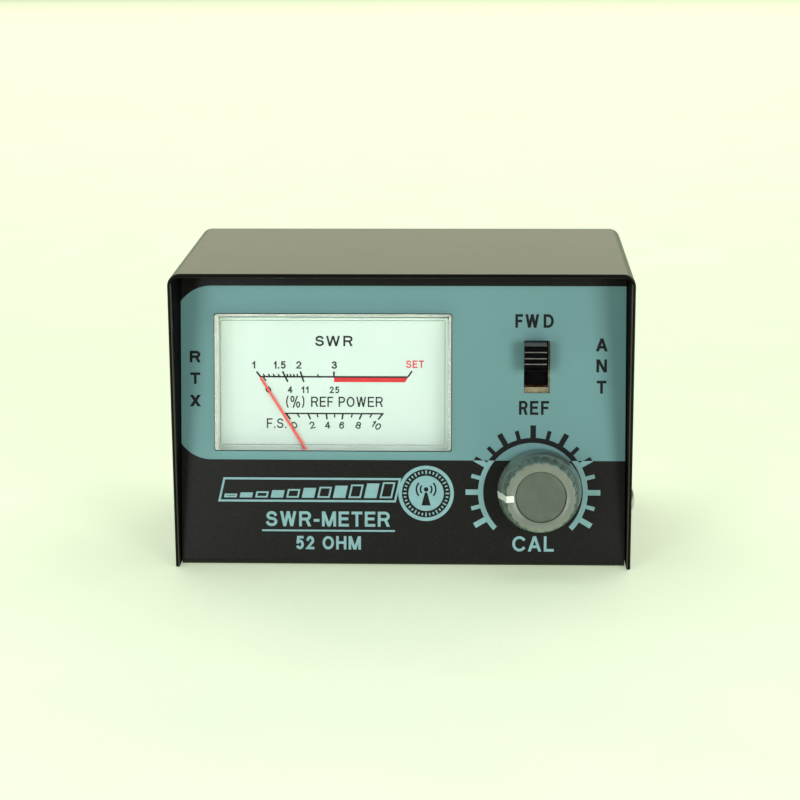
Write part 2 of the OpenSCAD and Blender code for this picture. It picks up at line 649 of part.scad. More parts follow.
cover();
chassis();
cover_screws();
panel_studs();
meter_lens();
meter_housing();
meter_dial();
meter_strap();
strap_nuts();
meter_yoke();
meter_magnet();
core_holder();
yoke_screws();
front_bridge();
rear_bridge();
jewel_screws();
meter_terminals();
meter_terminal_nuts();
meter_needle();
needle_balance();
meter_coil();
meter_pivots();
front_hairspring();
rear_hairspring();
cal_knob();
knob_cap();
knob_pointer();
pot_shaft();
pot_wiper();
pot_bushing();
pot_washer();
pot_nut();
pot_wafer();
pot_track();
pot_lugs();
pot_can();
switch_slider();
switch_contacts();
switch_frame();
switch_base();
switch_terminals();
switch_nuts();
rtx_socket_shell();
rtx_insulator();
rtx_contact();
ant_socket_shell();
ant_insulator();
ant_contact();
socket_screws();
socket_nuts();
ground_lugs();
coupler_board();
coupler_lines();
coupler_diodes();
coupler_resistors();
coupler_capacitors();
hookup_wires();
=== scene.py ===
"""The looks of an SWR meter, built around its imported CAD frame.

Sizes below are in millimetres and the scene is in metres: X to the right, Y to the back, Z up.
Places on the front panel are (x, s, out): x from the middle, s up the panel from its foot, out of its face.
"""
import json
import math

import bmesh
import bpy
from mathutils import Matrix, Vector
from mathutils.geometry import tessellate_polygon


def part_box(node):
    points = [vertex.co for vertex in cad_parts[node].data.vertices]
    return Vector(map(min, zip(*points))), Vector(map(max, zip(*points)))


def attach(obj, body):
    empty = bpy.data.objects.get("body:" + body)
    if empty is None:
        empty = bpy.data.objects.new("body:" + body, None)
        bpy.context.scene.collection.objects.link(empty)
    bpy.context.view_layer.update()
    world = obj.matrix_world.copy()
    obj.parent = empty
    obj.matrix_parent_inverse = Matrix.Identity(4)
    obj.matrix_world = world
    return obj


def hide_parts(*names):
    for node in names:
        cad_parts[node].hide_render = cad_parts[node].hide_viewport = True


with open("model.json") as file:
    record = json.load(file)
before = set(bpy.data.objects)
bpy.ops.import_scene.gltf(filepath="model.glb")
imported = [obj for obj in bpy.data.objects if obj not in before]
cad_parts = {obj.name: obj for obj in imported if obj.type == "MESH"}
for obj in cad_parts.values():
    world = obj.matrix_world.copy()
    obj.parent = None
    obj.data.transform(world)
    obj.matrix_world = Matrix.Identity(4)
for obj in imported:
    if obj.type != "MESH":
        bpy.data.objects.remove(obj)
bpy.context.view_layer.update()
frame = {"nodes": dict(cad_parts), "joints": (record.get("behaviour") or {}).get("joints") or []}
MM = 0.001

# ---------------- places, from the frame
joints = {j["name"]: j for j in frame["joints"]}
RIGHT = Vector((1, 0, 0))
OUT = Vector(joints["cal_turn"]["axis"])
UP = -Vector(joints["fwd_ref_slide"]["axis"])
KNOB = Vector(joints["cal_turn"]["pos_m"])
PIVOT = Vector(joints["needle_swing"]["pos_m"])
FOOT = Vector((0, KNOB.y - UP.y * KNOB.z / UP.z, 0))


def placed(origin, x_axis, y_axis, z_axis):
    """Takes local millimetres to the frame's metres."""
    place = Matrix((x_axis, y_axis, z_axis)).transposed().to_4x4()
    place.translation = origin
    return place @ Matrix.Scale(MM, 4)


PANEL = placed(FOOT, RIGHT, UP, OUT)
ON_KNOB = placed(KNOB, RIGHT, UP, OUT)
ON_NEEDLE = placed(PIVOT, RIGHT, UP, OUT)
WORLD = Matrix.Scale(MM, 4)


def box_mm(node):
    """A node's lowest and highest corners at rest, in millimetres."""
    return [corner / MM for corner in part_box(node)]


cover_low, cover_high = box_mm("cover")
CASE_W = cover_high.x - cover_low.x
CASE_H = cover_high.z
REAR_Y = box_mm("chassis")[1].y

# the panel's layout
PANEL_EDGE = 52.7
LENS = dict(x=-16.6, s=43.8, w=55.8, h=32.0, t=1.2, out=2.2)
HOUSING = dict(w=57.8, s0=6.5, s1=60.8)
SLOT = dict(x=31.75, s=47.66, w=6.15, h=12.4)
BLUE = dict(top=66.7, foot=25.4, corner=8.8, corner_x=-45.5)
DIAL_OUT = -5.4
INK = 0.03


# ---------------- materials
def colour(red, green, blue):
    """A colour given in sRGB, 0 to 255, as the linear one that shaders take."""
    def linear(v):
        v /= 255
        return v / 12.92 if v <= 0.04045 else ((v + 0.055) / 1.055) ** 2.4
    return (linear(red), linear(green), linear(blue), 1)


class Nodes:
    """A short way to write a material's nodes."""

    def __init__(self, name):
        self.material = bpy.data.materials.new(name)
        self.material.use_nodes = True
        self.tree = self.material.node_tree
        self.shader = self.tree.nodes["Principled BSDF"]
        self.place = self.add("ShaderNodeTexCoord").outputs["Object"]

    def add(self, kind, inputs=None, **settings):
        node = self.tree.nodes.new(kind)
        for key, value in settings.items():
            setattr(node, key, value)
        for key, value in (inputs or {}).items():
            if isinstance(value, bpy.types.NodeSocket):
                self.tree.links.new(value, node.inputs[key])
            else:
                node.inputs[key].default_value = value
        return node

    def noise(self, size_mm, detail=3.0, stretch=(1, 1, 1), roughness=0.5):
        scale = [1 / (s * MM) for s in stretch]
        spread = self.add("ShaderNodeMapping", {"Vector": self.place, "Scale": scale})
        return self.add("ShaderNodeTexNoise", {"Vector": spread.outputs[0], "Scale": 1 / size_mm,
                                               "Detail": detail, "Roughness": roughness}).outputs["Fac"]

    def math(self, kind, a, b=0.0, c=0.0):
        return self.add("ShaderNodeMath", {0: a, 1: b, 2: c}, operation=kind).outputs[0]

    def ranged(self, value, low, high, to_low, to_high):
        return self.add("ShaderNodeMapRange", {"Value": value, "From Min": low, "From Max": high,
                                               "To Min": to_low, "To Max": to_high}).outputs[0]

    def mixed(self, share, a, b):
        return self.add("ShaderNodeMix", {0: share, 6: a, 7: b}, data_type="RGBA").outputs[2]

    def along(self, axis, origin=(0, 0, 0)):
        """How far the shaded point lies from origin along axis, in millimetres."""
        from_origin = self.add("ShaderNodeVectorMath", {0: self.place, 1: origin}, operation="SUBTRACT")
        dot = self.add("ShaderNodeVectorMath", {0: from_origin.outputs[0], 1: axis}, operation="DOT_PRODUCT")
        return self.math("DIVIDE", dot.outputs["Value"], MM)

    def link(self, value, name):
        self.tree.links.new(value, self.shader.inputs[name])

    def bump(self, height, depth_mm, before=None):
        inputs = {"Height": height, "Distance": depth_mm * MM, "Strength": 1.0}
        if before is not None:
            inputs["Normal"] = before
        return self.add("ShaderNodeBump", inputs).outputs[0]


def finish_material(name, tint, rough, metallic=0.0, mottle=0.08, mottle_mm=7.0, rough_spread=0.06,
                    grain_mm=0.35, grain_depth=0.004, stretch=(1, 1, 1), coat=0.0, specular=0.5, extra=None):
    """A procedural finish: colour that varies gently, roughness that varies, and a fine grain."""
    n = Nodes(name)
    darker = tuple(c * (1 - mottle) for c in tint[:3]) + (1,)
    lighter = tuple(min(1, c * (1 + mottle)) for c in tint[:3]) + (1,)
    patches = n.ranged(n.noise(mottle_mm, 4, stretch), 0.3, 0.7, 0, 1)
    base = n.mixed(patches, darker, lighter)
    roughness = n.ranged(n.noise(mottle_mm / 3, 3, stretch), 0.3, 0.7,
                         rough - rough_spread, rough + rough_spread)
    normal = n.bump(n.noise(grain_mm, 2, stretch), grain_depth)
    n.shader.inputs["Metallic"].default_value = metallic
    n.shader.inputs["Coat Weight"].default_value = coat
    n.shader.inputs["Specular IOR Level"].default_value = specular
    if extra is not None:
        base, roughness, normal = extra(n, base, roughness, normal)
    n.link(base, "Base Color")
    n.link(roughness, "Roughness")
    n.link(normal, "Normal")
    return n.material


def clear_plastic(name, clarity, through):
    """Moulded plastic of this clarity; this share of the lamps' light reaches what is behind it."""
    n = Nodes(name)
    n.shader.inputs["Base Color"].default_value = (0.97, 0.985, 0.975, 1)
    n.shader.inputs["Transmission Weight"].default_value = clarity
    n.shader.inputs["IOR"].default_value = 1.49
    n.link(n.ranged(n.noise(9), 0.3, 0.7, 0.01, 0.05), "Roughness")
    n.link(n.bump(n.noise(6, 1), 0.002), "Normal")
    lamp = n.add("ShaderNodeLightPath").outputs["Is Shadow Ray"]
    open_way = n.add("ShaderNodeBsdfTransparent", {"Color": (through, through, through, 1)})
    mix = n.add("ShaderNodeMixShader", {0: lamp, 1: n.shader.outputs[0], 2: open_way.outputs[0]})
    n.tree.links.new(mix.outputs[0], n.tree.nodes["Material Output"].inputs["Surface"])
    return n.material


def stoved_paint():
    """Satin black stoved paint with fine orange peel and faint dust."""
    def extra(n, base, roughness, normal):
        peel = n.bump(n.noise(0.7, 2), 0.002, before=normal)
        dust = n.ranged(n.noise(0.25, 1), 0.72, 0.78, 0, 0.4)
        return n.mixed(dust, base, colour(120, 120, 108)), roughness, peel
    return finish_material("black_stoved_paint", colour(12, 12, 10), 0.28, mottle=0.04, mottle_mm=16,
                           rough_spread=0.004, grain_mm=0.22, grain_depth=0.0012, specular=0.16, extra=extra)


def chassis_sheet():
    """Satin sheet metal with black print on its front face; the black runs on over the cut edges and the bend
    at the foot as painted shade.
    """
    def extra(n, base, roughness, normal):
        print_and_shade_depth, ink_rough = 1.25, 0.34
        # Black reaches 1.25 mm back from the face: print on the face, painted shade on the cut edges round
        # the holes and on the bend.
        print_and_shade = n.math("GREATER_THAN", n.along(OUT, FOOT), -print_and_shade_depth)
        speck = n.ranged(n.noise(0.3, 1), 0.45, 0.8, 0, 0.22)
        ink = n.mixed(speck, colour(9, 8, 7), colour(70, 63, 57))
        metal = n.math("SUBTRACT", 1, print_and_shade)
        n.link(metal, "Metallic")
        rough = n.math("MULTIPLY_ADD", print_and_shade, ink_rough, n.math("MULTIPLY", metal, roughness))
        return n.mixed(print_and_shade, base, ink), rough, normal
    return finish_material("chassis_sheet", colour(178, 172, 150), 0.36, mottle=0.1, mottle_mm=5,
                           stretch=(9, 1, 1), grain_mm=0.3, grain_depth=0.002, specular=0.26, extra=extra)


def spun_metal(name, tint, rough, centre, axis, ring_mm):
    """Turned metal: fine rings about an axis."""
    def extra(n, base, roughness, normal):
        offset = n.add("ShaderNodeVectorMath", {0: n.place, 1: centre}, operation="SUBTRACT").outputs[0]
        across = n.add("ShaderNodeVectorMath", {0: offset, 1: axis}, operation="CROSS_PRODUCT").outputs[0]
        radius = n.add("ShaderNodeVectorMath", {0: across}, operation="LENGTH").outputs["Value"]
        rings = n.math("SINE", n.math("MULTIPLY", radius, 2 * math.pi / (ring_mm * MM)))
        return base, roughness, n.bump(rings, 0.004, before=normal)
    return finish_material(name, tint, rough, metallic=1.0, mottle=0.1, mottle_mm=3, extra=extra)


def worn_plastic(name, tint, rough, wear_tint):
    """Moulded plastic with light rub marks."""
    def extra(n, base, roughness, normal):
        rubs = n.ranged(n.noise(2.2, 6, roughness=0.7), 0.6, 0.75, 0, 0.35)
        return n.mixed(rubs, base, wear_tint), roughness, normal
    return finish_material(name, tint, rough, mottle=0.1, mottle_mm=4, grain_mm=0.15, grain_depth=0.004,
                           coat=0.15, extra=extra)


M = {
    "paint": stoved_paint(),
    # A brown line on the inner front edges of the cover's sides: painted highlight, for the lamp light those
    # rounded edges catch.
    "painted_edge_highlight": finish_material("painted_edge_highlight", colour(46, 39, 24), 0.4, mottle=0.35, mottle_mm=5,
                                   stretch=(1, 1, 4)),
    "paint_inside": finish_material("matte_paint_inside", colour(7, 6, 5), 0.85, mottle=0.2, mottle_mm=8,
                                    specular=0.08),
    "sheet": chassis_sheet(),
    "blue": finish_material("blue_print", colour(107, 153, 156), 0.5, mottle=0.03, mottle_mm=25,
                            grain_mm=0.25, grain_depth=0.003),
    "ink_dark": finish_material("dark_print", colour(7, 13, 15), 0.5, mottle=0.15, mottle_mm=2, specular=0.2),
    "clear": clear_plastic("clear_moulding", 1, 0.965),
    "clear_side": clear_plastic("clear_moulding_side", 0.72, 0.7),
    "dial": finish_material("dial_card", colour(202, 216, 206), 0.55, mottle=0.015, mottle_mm=12,
                            grain_mm=0.12, grain_depth=0.002),
    "dial_ink": finish_material("dial_black", colour(16, 18, 18), 0.55, mottle=0.1, mottle_mm=2,
                                specular=0.3),
    "needle": finish_material("needle_lacquer", colour(236, 74, 62), 0.35, mottle=0.08, mottle_mm=1.5,
                              coat=0.3),
    "knob": worn_plastic("knob_plastic", colour(116, 134, 121), 0.2, colour(126, 134, 122)),
    # The face ring has its own toned copy of the knob plastic: painted light, as the face turns to the lamps.
    "knob_face_painted_light": worn_plastic("knob_face_painted_light", colour(121, 128, 116), 0.42, colour(104, 114, 106)),
    "cap": spun_metal("knob_cap", colour(98, 105, 95), 0.5, KNOB, OUT, 0.35),
    # Black plastic darkened to near zero: the slider is black plastic, and the extra black is painted shade
    # for the slot behind the block.
    "black_plastic_and_slot_shade": finish_material("black_plastic_and_slot_shade", colour(3, 3, 3), 0.4, mottle=0.1, mottle_mm=3,
                                     specular=0.05),
    "copper": finish_material("copper", colour(200, 118, 74), 0.32, 1.0, mottle=0.12, mottle_mm=2,
                              stretch=(1, 6, 1)),
    "phenolic": finish_material("phenolic_board", colour(150, 98, 48), 0.5, mottle=0.18, mottle_mm=2,
                                stretch=(3, 1, 3)),
    "amber": finish_material("amber_glass", colour(196, 116, 60), 0.15, mottle=0.1, mottle_mm=2, coat=0.6),
}
# Plain finishes: name, tint, roughness, metallic, mottle and its size in mm.
for key, (name, tint, *settings) in {
    "ink_light": ("light_print", (138, 182, 187), 0.5, 0, 0.06, 2),
    "dial_red": ("dial_red", (204, 9, 13), 0.5, 0, 0.06, 2),
    "white": ("white_filling", (248, 249, 240), 0.5, 0, 0.05, 1),
    # The next two are grey on the slider's ridge crests and top ledge: painted highlights, and a painted
    # reflection of the light above.
    "ridge_edge": ("ridge_edge", (104, 106, 104), 0.35, 0, 0.25, 1),
    "ridge_ledge": ("ridge_ledge", (52, 58, 60), 0.35, 0, 0.2, 1),
    "zinc": ("yellow_passivated", (150, 139, 114), 0.42, 1.0, 0.5, 0.5),
    "steel": ("plated_steel", (190, 190, 188), 0.28, 1.0, 0.1, 3),
    "nickel": ("nickel_plate", (200, 197, 188), 0.2, 1.0, 0.12, 4),
    "silver": ("silver_plate", (214, 208, 190), 0.24, 1.0, 0.15, 2),
    "brass": ("turned_brass", (205, 170, 95), 0.3, 1.0, 0.12, 3),
    "ivory": ("ivory_plastic", (246, 248, 234), 0.45, 0, 0.04, 6),
    "insulator": ("white_insulator", (232, 229, 216), 0.4, 0, 0.05, 4),
    "carbon": ("carbon_film", (28, 28, 28), 0.6, 0, 0.2, 1),
    "magnet": ("ground_magnet", (96, 96, 98), 0.45, 1.0, 0.2, 2),
    "resistor": ("resistor_lacquer", (178, 144, 104), 0.4, 0, 0.1, 1.5),
    "ceramic": ("dipped_ceramic", (204, 138, 60), 0.4, 0, 0.12, 1.5),
    "wire": ("wire_insulation", (184, 44, 36), 0.4, 0, 0.06, 3),
}.items():
    M[key] = finish_material(name, colour(*tint), *settings)


# ---------------- mesh helpers
def bow(cx, cy, rx, ry, start, end, steps=16):
    """Points along an ellipse, its angles in degrees."""
    turn = [math.radians(start + (end - start) * i / steps) for i in range(steps + 1)]
    return [(cx + rx * math.cos(a), cy + ry * math.sin(a)) for a in turn]


def arc(cx, cy, r, start, end, steps=8):
    return bow(cx, cy, r, r, start, end, steps)


def circle(r, z, steps):
    """A closed loop of points about local z, at height z."""
    return [(r * math.cos(2 * math.pi * i / steps), r * math.sin(2 * math.pi * i / steps), z)
            for i in range(steps)]


def disc(cx, cy, r, steps):
    """A flat round outline."""
    return arc(cx, cy, r, 0, 360, steps)[:-1]


def rounded(cx, cy, w, h, r, steps=6):
    """A rectangle with round corners, anticlockwise."""
    x, y = w / 2 - r, h / 2 - r
    corners = ((x, y, 0), (-x, y, 90), (-x, -y, 180), (x, -y, 270))
    return [p for dx, dy, a in corners for p in arc(cx + dx, cy + dy, r, a, a + 90, steps)]


class Shape:
    """Collects vertices and faces, in local millimetres."""

    def __init__(self):
        self.verts = []
        self.faces = []
        self.kinds = []

    def add(self, verts, faces, kinds=None):
        start = len(self.verts)
        self.verts += [tuple(v) for v in verts]
        self.faces += [[start + i for i in face] for face in faces]
        self.kinds += kinds or [0] * len(faces)

    def prism(self, outline, low, high, holes=()):
        """A flat plate of any outline, with holes, between two heights."""
        loops = [list(outline)] + [list(h) for h in holes]
        flat = [p for loop in loops for p in loop]
        n = len(flat)
        caps = tessellate_polygon([[Vector((x, y, 0)) for x, y in loop] for loop in loops])
        verts = [(x, y, low) for x, y in flat] + [(x, y, high) for x, y in flat]
        faces = []
        for tri in caps:
            a, b, c = (Vector(flat[i]) for i in tri)
            if (b - a).cross(c - a) < 0:
                tri = tri[::-1]
            faces += [[i + n for i in tri], list(tri)[::-1]]
        start = 0
        for number, loop in enumerate(loops):
            m = len(loop)
            area = sum(loop[i - 1][0] * loop[i][1] - loop[i][0] * loop[i - 1][1] for i in range(m))
            flip = (area < 0) != (number > 0)
            for i in range(m):
                a, b = start + i, start + (i + 1) % m
                faces.append([b, a, a + n, b + n] if flip else [a, b, b + n, a + n])
            start += m
        self.add(verts, faces)

    def rings(self, loops, around=False, kinds=None):
        """Skins over closed loops of as many points each, and closes both ends or joins them up."""
        n = len(loops[0])
        verts = [p for loop in loops for p in loop]
        faces, marks = [], []
        last = len(loops) if around else len(loops) - 1
        for j in range(last):
            a, b = j * n, (j + 1) % len(loops) * n
            faces += [[a + i, a + (i + 1) % n, b + (i + 1) % n, b + i] for i in range(n)]
            marks += [kinds[j] if kinds else 0] * n
        if not around:
            faces += [list(range(n))[::-1], [(len(loops) - 1) * n + i for i in range(n)]]
            marks += [kinds[0], kinds[-1]] if kinds else [0, 0]
        self.add(verts, faces, marks)

    def lathe(self, profile, steps):
        """A solid of revolution about local z from (radius, height) points."""
        self.rings([circle(r, z, steps) for r, z in profile])

    def moved(self, place):
        """The same shape, put through a matrix."""
        other = Shape()
        other.verts = [tuple(place @ Vector(v)) for v in self.verts]
        other.faces = [list(f) for f in self.faces]
        other.kinds = list(self.kinds)
        return other

    def join(self, other):
        self.add(other.verts, other.faces, other.kinds)


def apply_modifiers(piece):
    depsgraph = bpy.context.evaluated_depsgraph_get()
    piece.data = bpy.data.meshes.new_from_object(piece.evaluated_get(depsgraph))
    piece.modifiers.clear()


def settle(piece, smooth=35):
    """Smooth shading that keeps flat faces flat beside their rounded edges."""
    piece.data.shade_smooth()
    piece.data.set_sharp_from_angle(angle=math.radians(smooth))
    weigh = piece.modifiers.new("weigh", "WEIGHTED_NORMAL")
    weigh.keep_sharp = True
    weigh.weight = 90
    apply_modifiers(piece)


def build(name, shape, place, materials, bevel=0.0, smooth=35, segments=3):
    """Makes the object, with its sharp edges rounded by bevel millimetres."""
    sharp_angle, same_point = math.radians(40), 1e-4
    mesh = bpy.data.meshes.new(name)
    bm = bmesh.new()
    points = [bm.verts.new(v) for v in shape.verts]
    for face, kind in zip(shape.faces, shape.kinds):
        made = bm.faces.new([points[i] for i in face])
        made.material_index = kind
    bmesh.ops.remove_doubles(bm, verts=bm.verts, dist=same_point)
    bmesh.ops.recalc_face_normals(bm, faces=bm.faces)
    if bevel:
        sharp = [e for e in bm.edges if len(e.link_faces) == 2 and e.calc_face_angle() > sharp_angle]
        bmesh.ops.bevel(bm, geom=sharp, offset=bevel, segments=segments, affect="EDGES", profile=0.5)
    bmesh.ops.transform(bm, matrix=place, verts=bm.verts)
    if place.determinant() < 0:
        bmesh.ops.reverse_faces(bm, faces=bm.faces)
    bm.to_mesh(mesh)
    bm.free()
    for material in materials if isinstance(materials, (list, tuple)) else [materials]:
        mesh.materials.append(material)
    piece = bpy.data.objects.new(name, mesh)
    bpy.context.scene.collection.objects.link(piece)
    settle(piece, smooth)
    return piece


def cut(piece, shape, place):
    """Takes a shape out of a piece."""
    tool = build("cutter", shape, place, [])
    modifier = piece.modifiers.new("cut", "BOOLEAN")
    modifier.operation = "DIFFERENCE"
    modifier.solver = "EXACT"
    modifier.object = tool
    apply_modifiers(piece)
    bpy.data.objects.remove(tool)
    settle(piece)


def hand_over(piece, body, slot, *nodes):
    """The piece moves with a CAD body and stands for CAD nodes, which are hidden; slot is not used."""
    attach(piece, body)
    if nodes:
        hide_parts(*nodes)


# ---------------- lettering and line work
def loop(cx, cy, rx, ry):
    return bow(cx, cy, rx, ry, 0, 360, 28)


# Each letter: its width for a height of 1, its pen strokes, and its slanted bars, in a box from 0 to 1.
GLYPHS = {
    "A": (0.74, [[(0.22, 0.27), (0.78, 0.27)]], [((0, 0), (0.5, 1)), ((1, 0), (0.5, 1))]),
    "C": (0.73, [bow(0.56, 0.5, 0.56, 0.5, 44, 316, 26)], []),
    "D": (0.7, [[(0, 0), (0, 1)] + bow(0.42, 0.5, 0.58, 0.5, 90, -90) + [(0, 0)]], []),
    "E": (0.62, [[(1, 1), (0, 1), (0, 0), (1, 0)], [(0, 0.52), (0.9, 0.52)]], []),
    "F": (0.58, [[(1, 1), (0, 1), (0, 0)], [(0, 0.5), (0.85, 0.5)]], []),
    "H": (0.7, [[(0, 0), (0, 1)], [(1, 0), (1, 1)], [(0, 0.52), (1, 0.52)]], []),
    "L": (0.56, [[(0, 1), (0, 0), (1, 0)]], []),
    "M": (0.84, [[(0, 0), (0, 1)], [(1, 0), (1, 1)]], [((0.5, 0), (0.03, 1)), ((0.5, 0), (0.97, 1))]),
    "N": (0.72, [[(0, 0), (0, 1)], [(1, 0), (1, 1)]], [((0.97, 0), (0.03, 1))]),
    "O": (0.78, [loop(0.5, 0.5, 0.5, 0.5)], []),
    "P": (0.64, [[(0, 0), (0, 1)], [(0, 1)] + bow(0.6, 0.73, 0.4, 0.27, 90, -90) + [(0, 0.46)]], []),
    "R": (0.72, [[(0, 0), (0, 1)], [(0, 1)] + bow(0.62, 0.74, 0.36, 0.26, 90, -90) + [(0, 0.48)]],
          [((0.98, 0), (0.66, 0.46))]),
    "S": (0.67, [bow(0.5, 0.755, 0.45, 0.245, 18, 238) + bow(0.5, 0.262, 0.5, 0.262, 62, -162)], []),
    "T": (0.64, [[(0, 1), (1, 1)], [(0.5, 0.9), (0.5, 0)]], []),
    "W": (1.0, [], [((0.25, 0), (0.02, 1)), ((0.25, 0), (0.5, 1)), ((0.75, 0), (0.5, 1)),
                    ((0.75, 0), (0.98, 1))]),
    "X": (0.7, [], [((0, 0), (1, 1)), ((1, 0), (0, 1))]),
    "0": (0.55, [loop(0.5, 0.5, 0.5, 0.5)], []),
    "1": (0.3, [[(1, 0), (1, 1)], [(0.1, 0.74), (0.6, 0.83), (0.95, 1)]], []),
    "2": (0.55, [bow(0.5, 0.71, 0.47, 0.29, 165, -32) + [(0, 0), (1, 0)]], []),
    "3": (0.55, [bow(0.47, 0.765, 0.43, 0.235, 160, -90), bow(0.48, 0.265, 0.5, 0.265, 90, -162)], []),
    "4": (0.57, [[(0.72, 0), (0.72, 1)], [(0.66, 0.94), (0, 0.3), (1, 0.3)]], []),
    "5": (0.55, [[(0.9, 1), (0.18, 1), (0.09, 0.53)], bow(0.46, 0.325, 0.5, 0.325, 128, -138)], []),
    "6": (0.55, [loop(0.5, 0.31, 0.48, 0.31), bow(0.56, 0.45, 0.54, 0.55, 185, 48)], []),
    "8": (0.55, [loop(0.5, 0.765, 0.42, 0.235), loop(0.5, 0.265, 0.5, 0.265)], []),
    "%": (0.88, [loop(0.17, 0.76, 0.17, 0.24), loop(0.83, 0.24, 0.17, 0.24)], [((0.25, 0), (0.75, 1))]),
    "(": (0.24, [bow(2.2, 0.5, 2.2, 0.62, 126, 234)], []),
    ")": (0.24, [bow(-1.2, 0.5, 2.2, 0.62, 54, -54)], []),
    ".": (0.14, [[(0.5, 0), (0.5, 0.02)]], []),
    "-": (0.34, [[(0, 0.38), (1, 0.38)]], []),
    " ": (0.26, [], []),
}
LETTER_GAP = 0.15


class Print(Shape):
    """Ink on a face: flat shapes with a hair's thickness, each stroke a little prouder than the last."""
    STEP, STEPS = 0.001, 12

    def __init__(self, level):
        super().__init__()
        self.low = level
        self.high = level + INK
        self.count = 0

    def area(self, outline, holes=()):
        self.prism(outline, self.low, self.high, holes)
        self.count += 1
        self.high = self.low + INK + self.STEP * (self.count % self.STEPS)

    def stroke(self, a, b, width):
        """A straight line with square ends."""
        self.pen([a, b], width)

    def pen(self, points, width, cap=0.0):
        """A line of even width through the points, with mitred corners; a closed run makes a ring."""
        closed = points[0] == points[-1] and len(points) > 3 or math.dist(points[0], points[-1]) < 1e-6
        path = [Vector(p) for p in points]
        if closed:
            path = path[:-1]
        elif cap:
            path[0] = path[0] + (path[0] - path[1]).normalized() * cap
            path[-1] = path[-1] + (path[-1] - path[-2]).normalized() * cap
        left, right = [], []
        last = len(path) - 1
        for i, p in enumerate(path):
            before = path[i - 1] if i or closed else None
            after = path[(i + 1) % len(path)] if i < last or closed else None
            legs = ((before, p), (p, after))
            ways = [(b - a).normalized() for a, b in legs if a is not None and b is not None]
            along = sum(ways, Vector((0, 0))).normalized()
            side = Vector((-along.y, along.x)) * width / 2 / max(0.5, along.dot(ways[0]))
            left.append(tuple(p + side))
            right.append(tuple(p - side))
        if closed:
            self.area(left, [right])
        else:
            self.area(left + right[::-1])

    def text(self, words, x0, x1, s0, s1, width, turn=0.0):
        """Words in plain letters of even stroke, fitted into a box and turned about its middle."""
        tall = s1 - s0
        ems = sum(GLYPHS[c][0] for c in words) + LETTER_GAP * (len(words) - 1)
        scale = (x1 - x0) / ems
        mid = Vector(((x0 + x1) / 2, (s0 + s1) / 2))
        spin = Matrix.Rotation(math.radians(turn), 2)
        x = x0
        for letter in words:
            share, strokes, bars = GLYPHS[letter]
            wide = share * scale

            def spot(u, v, rise=0.0):
                px = x + width / 2 + u * (wide - width)
                py = s0 + width / 2 + v * (tall - width) + rise
                return mid + spin @ (Vector((px, py)) - mid)

            for points in strokes:
                self.pen([tuple(spot(u, v)) for u, v in points], width, width / 2)
            for (u0, v0), (u1, v1) in bars:
                run = Vector(((u1 - u0) * (wide - width), (v1 - v0) * (tall - width)))
                half = width / 2 * run.length / abs(run.y) / (wide - width)
                low = -width / 2 if v0 == 0 else 0
                high = width / 2 if v1 == 1 else 0
                corners = ((u0 - half, v0, low), (u0 + half, v0, low),
                           (u1 + half, v1, high), (u1 - half, v1, high))
                self.area([tuple(spot(u, v, rise)) for u, v, rise in corners])
            x += wide + LETTER_GAP * scale


# ---------------- case
SIDE_HEAD_R, FLANGE_HEAD_R, HEAD_H, SHANK_R = 3.0, 2.8, 1.8, 1.5
FLANGE_T, FLANGE_W, FLANGE_HOLE = 1.6, 25.4, 9.1


def make_cover():
    sheet, corner, steps = 1.0, 2.9, 12
    hole_r, slack = 1.7, 0.02
    x, z = CASE_W / 2 - corner, CASE_H - corner
    outline = ([(CASE_W / 2, 0)] + arc(x, z, corner, 0, 90, steps) + arc(-x, z, corner, 90, 180, steps)
               + [(-CASE_W / 2, 0), (sheet - CASE_W / 2, 0)]
               + arc(-x, z, corner - sheet, 180, 90, steps) + arc(x, z, corner - sheet, 90, 0, steps)
               + [(CASE_W / 2 - sheet, 0)])
    shape = Shape()
    shape.rings([[(px, y, pz) for px, pz in outline] for y in (cover_low.y, cover_high.y)])
    cover = build("cover_shell", shape, WORLD, [M["paint"], M["paint_inside"], M["painted_edge_highlight"]], bevel=0.36)
    for face in cover.data.polygons:
        at = face.center / MM
        if abs(at.x) < CASE_W / 2 - sheet + slack and at.z < CASE_H - sheet + slack:
            face.material_index = 1
        # Front-facing edge faces on the inside of the sides carry the painted highlight line.
        elif face.normal.y < -0.45 and face.normal.x * at.x < -0.25 * abs(at.x):
            face.material_index = 2
    screws = Shape()
    low, high = box_mm("cover_screws")
    for y in (low.y + SIDE_HEAD_R, high.y - SIDE_HEAD_R):
        hole = Shape()
        hole.lathe([(hole_r, -CASE_W), (hole_r, CASE_W)], 24)
        along_x = Matrix.Translation((0, y, (low.z + high.z) / 2)) @ Matrix.Rotation(math.pi / 2, 4, "Y")
        screws.join(hole.moved(along_x))
    cut(cover, screws, WORLD)
    hand_over(cover, "case", "black_paint", "cover")


def pan_head_mesh(r, shank):
    """A cross-recess pan-head screw along z, its seat at z = 0."""
    h = HEAD_H
    shape = Shape()
    dome = [(r * math.cos(a), h * 0.35 + h * 0.65 * math.sin(a))
            for a in (math.radians(10 * i) for i in range(9))]
    shape.lathe([(SHANK_R, -shank), (SHANK_R, 0), (r * 0.97, 0)] + dome, 40)
    head = build("screw", shape, Matrix.Identity(4), M["steel"])
    for turned in (False, True):
        across = [[(-w, -0.28), (w, -0.28), (w, 0.28), (-w, 0.28)] for w in (r * 0.22, r * 0.56)]
        loops = [[(y, x, z) if turned else (x, y, z) for x, y in loop]
                 for loop, z in zip(across, (h * 0.25, h * 1.3))]
        arm = Shape()
        arm.rings(loops)
        cut(head, arm, Matrix.Identity(4))
    made = Shape()
    made.add([v.co for v in head.data.vertices], [list(p.vertices) for p in head.data.polygons])
    bpy.data.objects.remove(head)
    return made


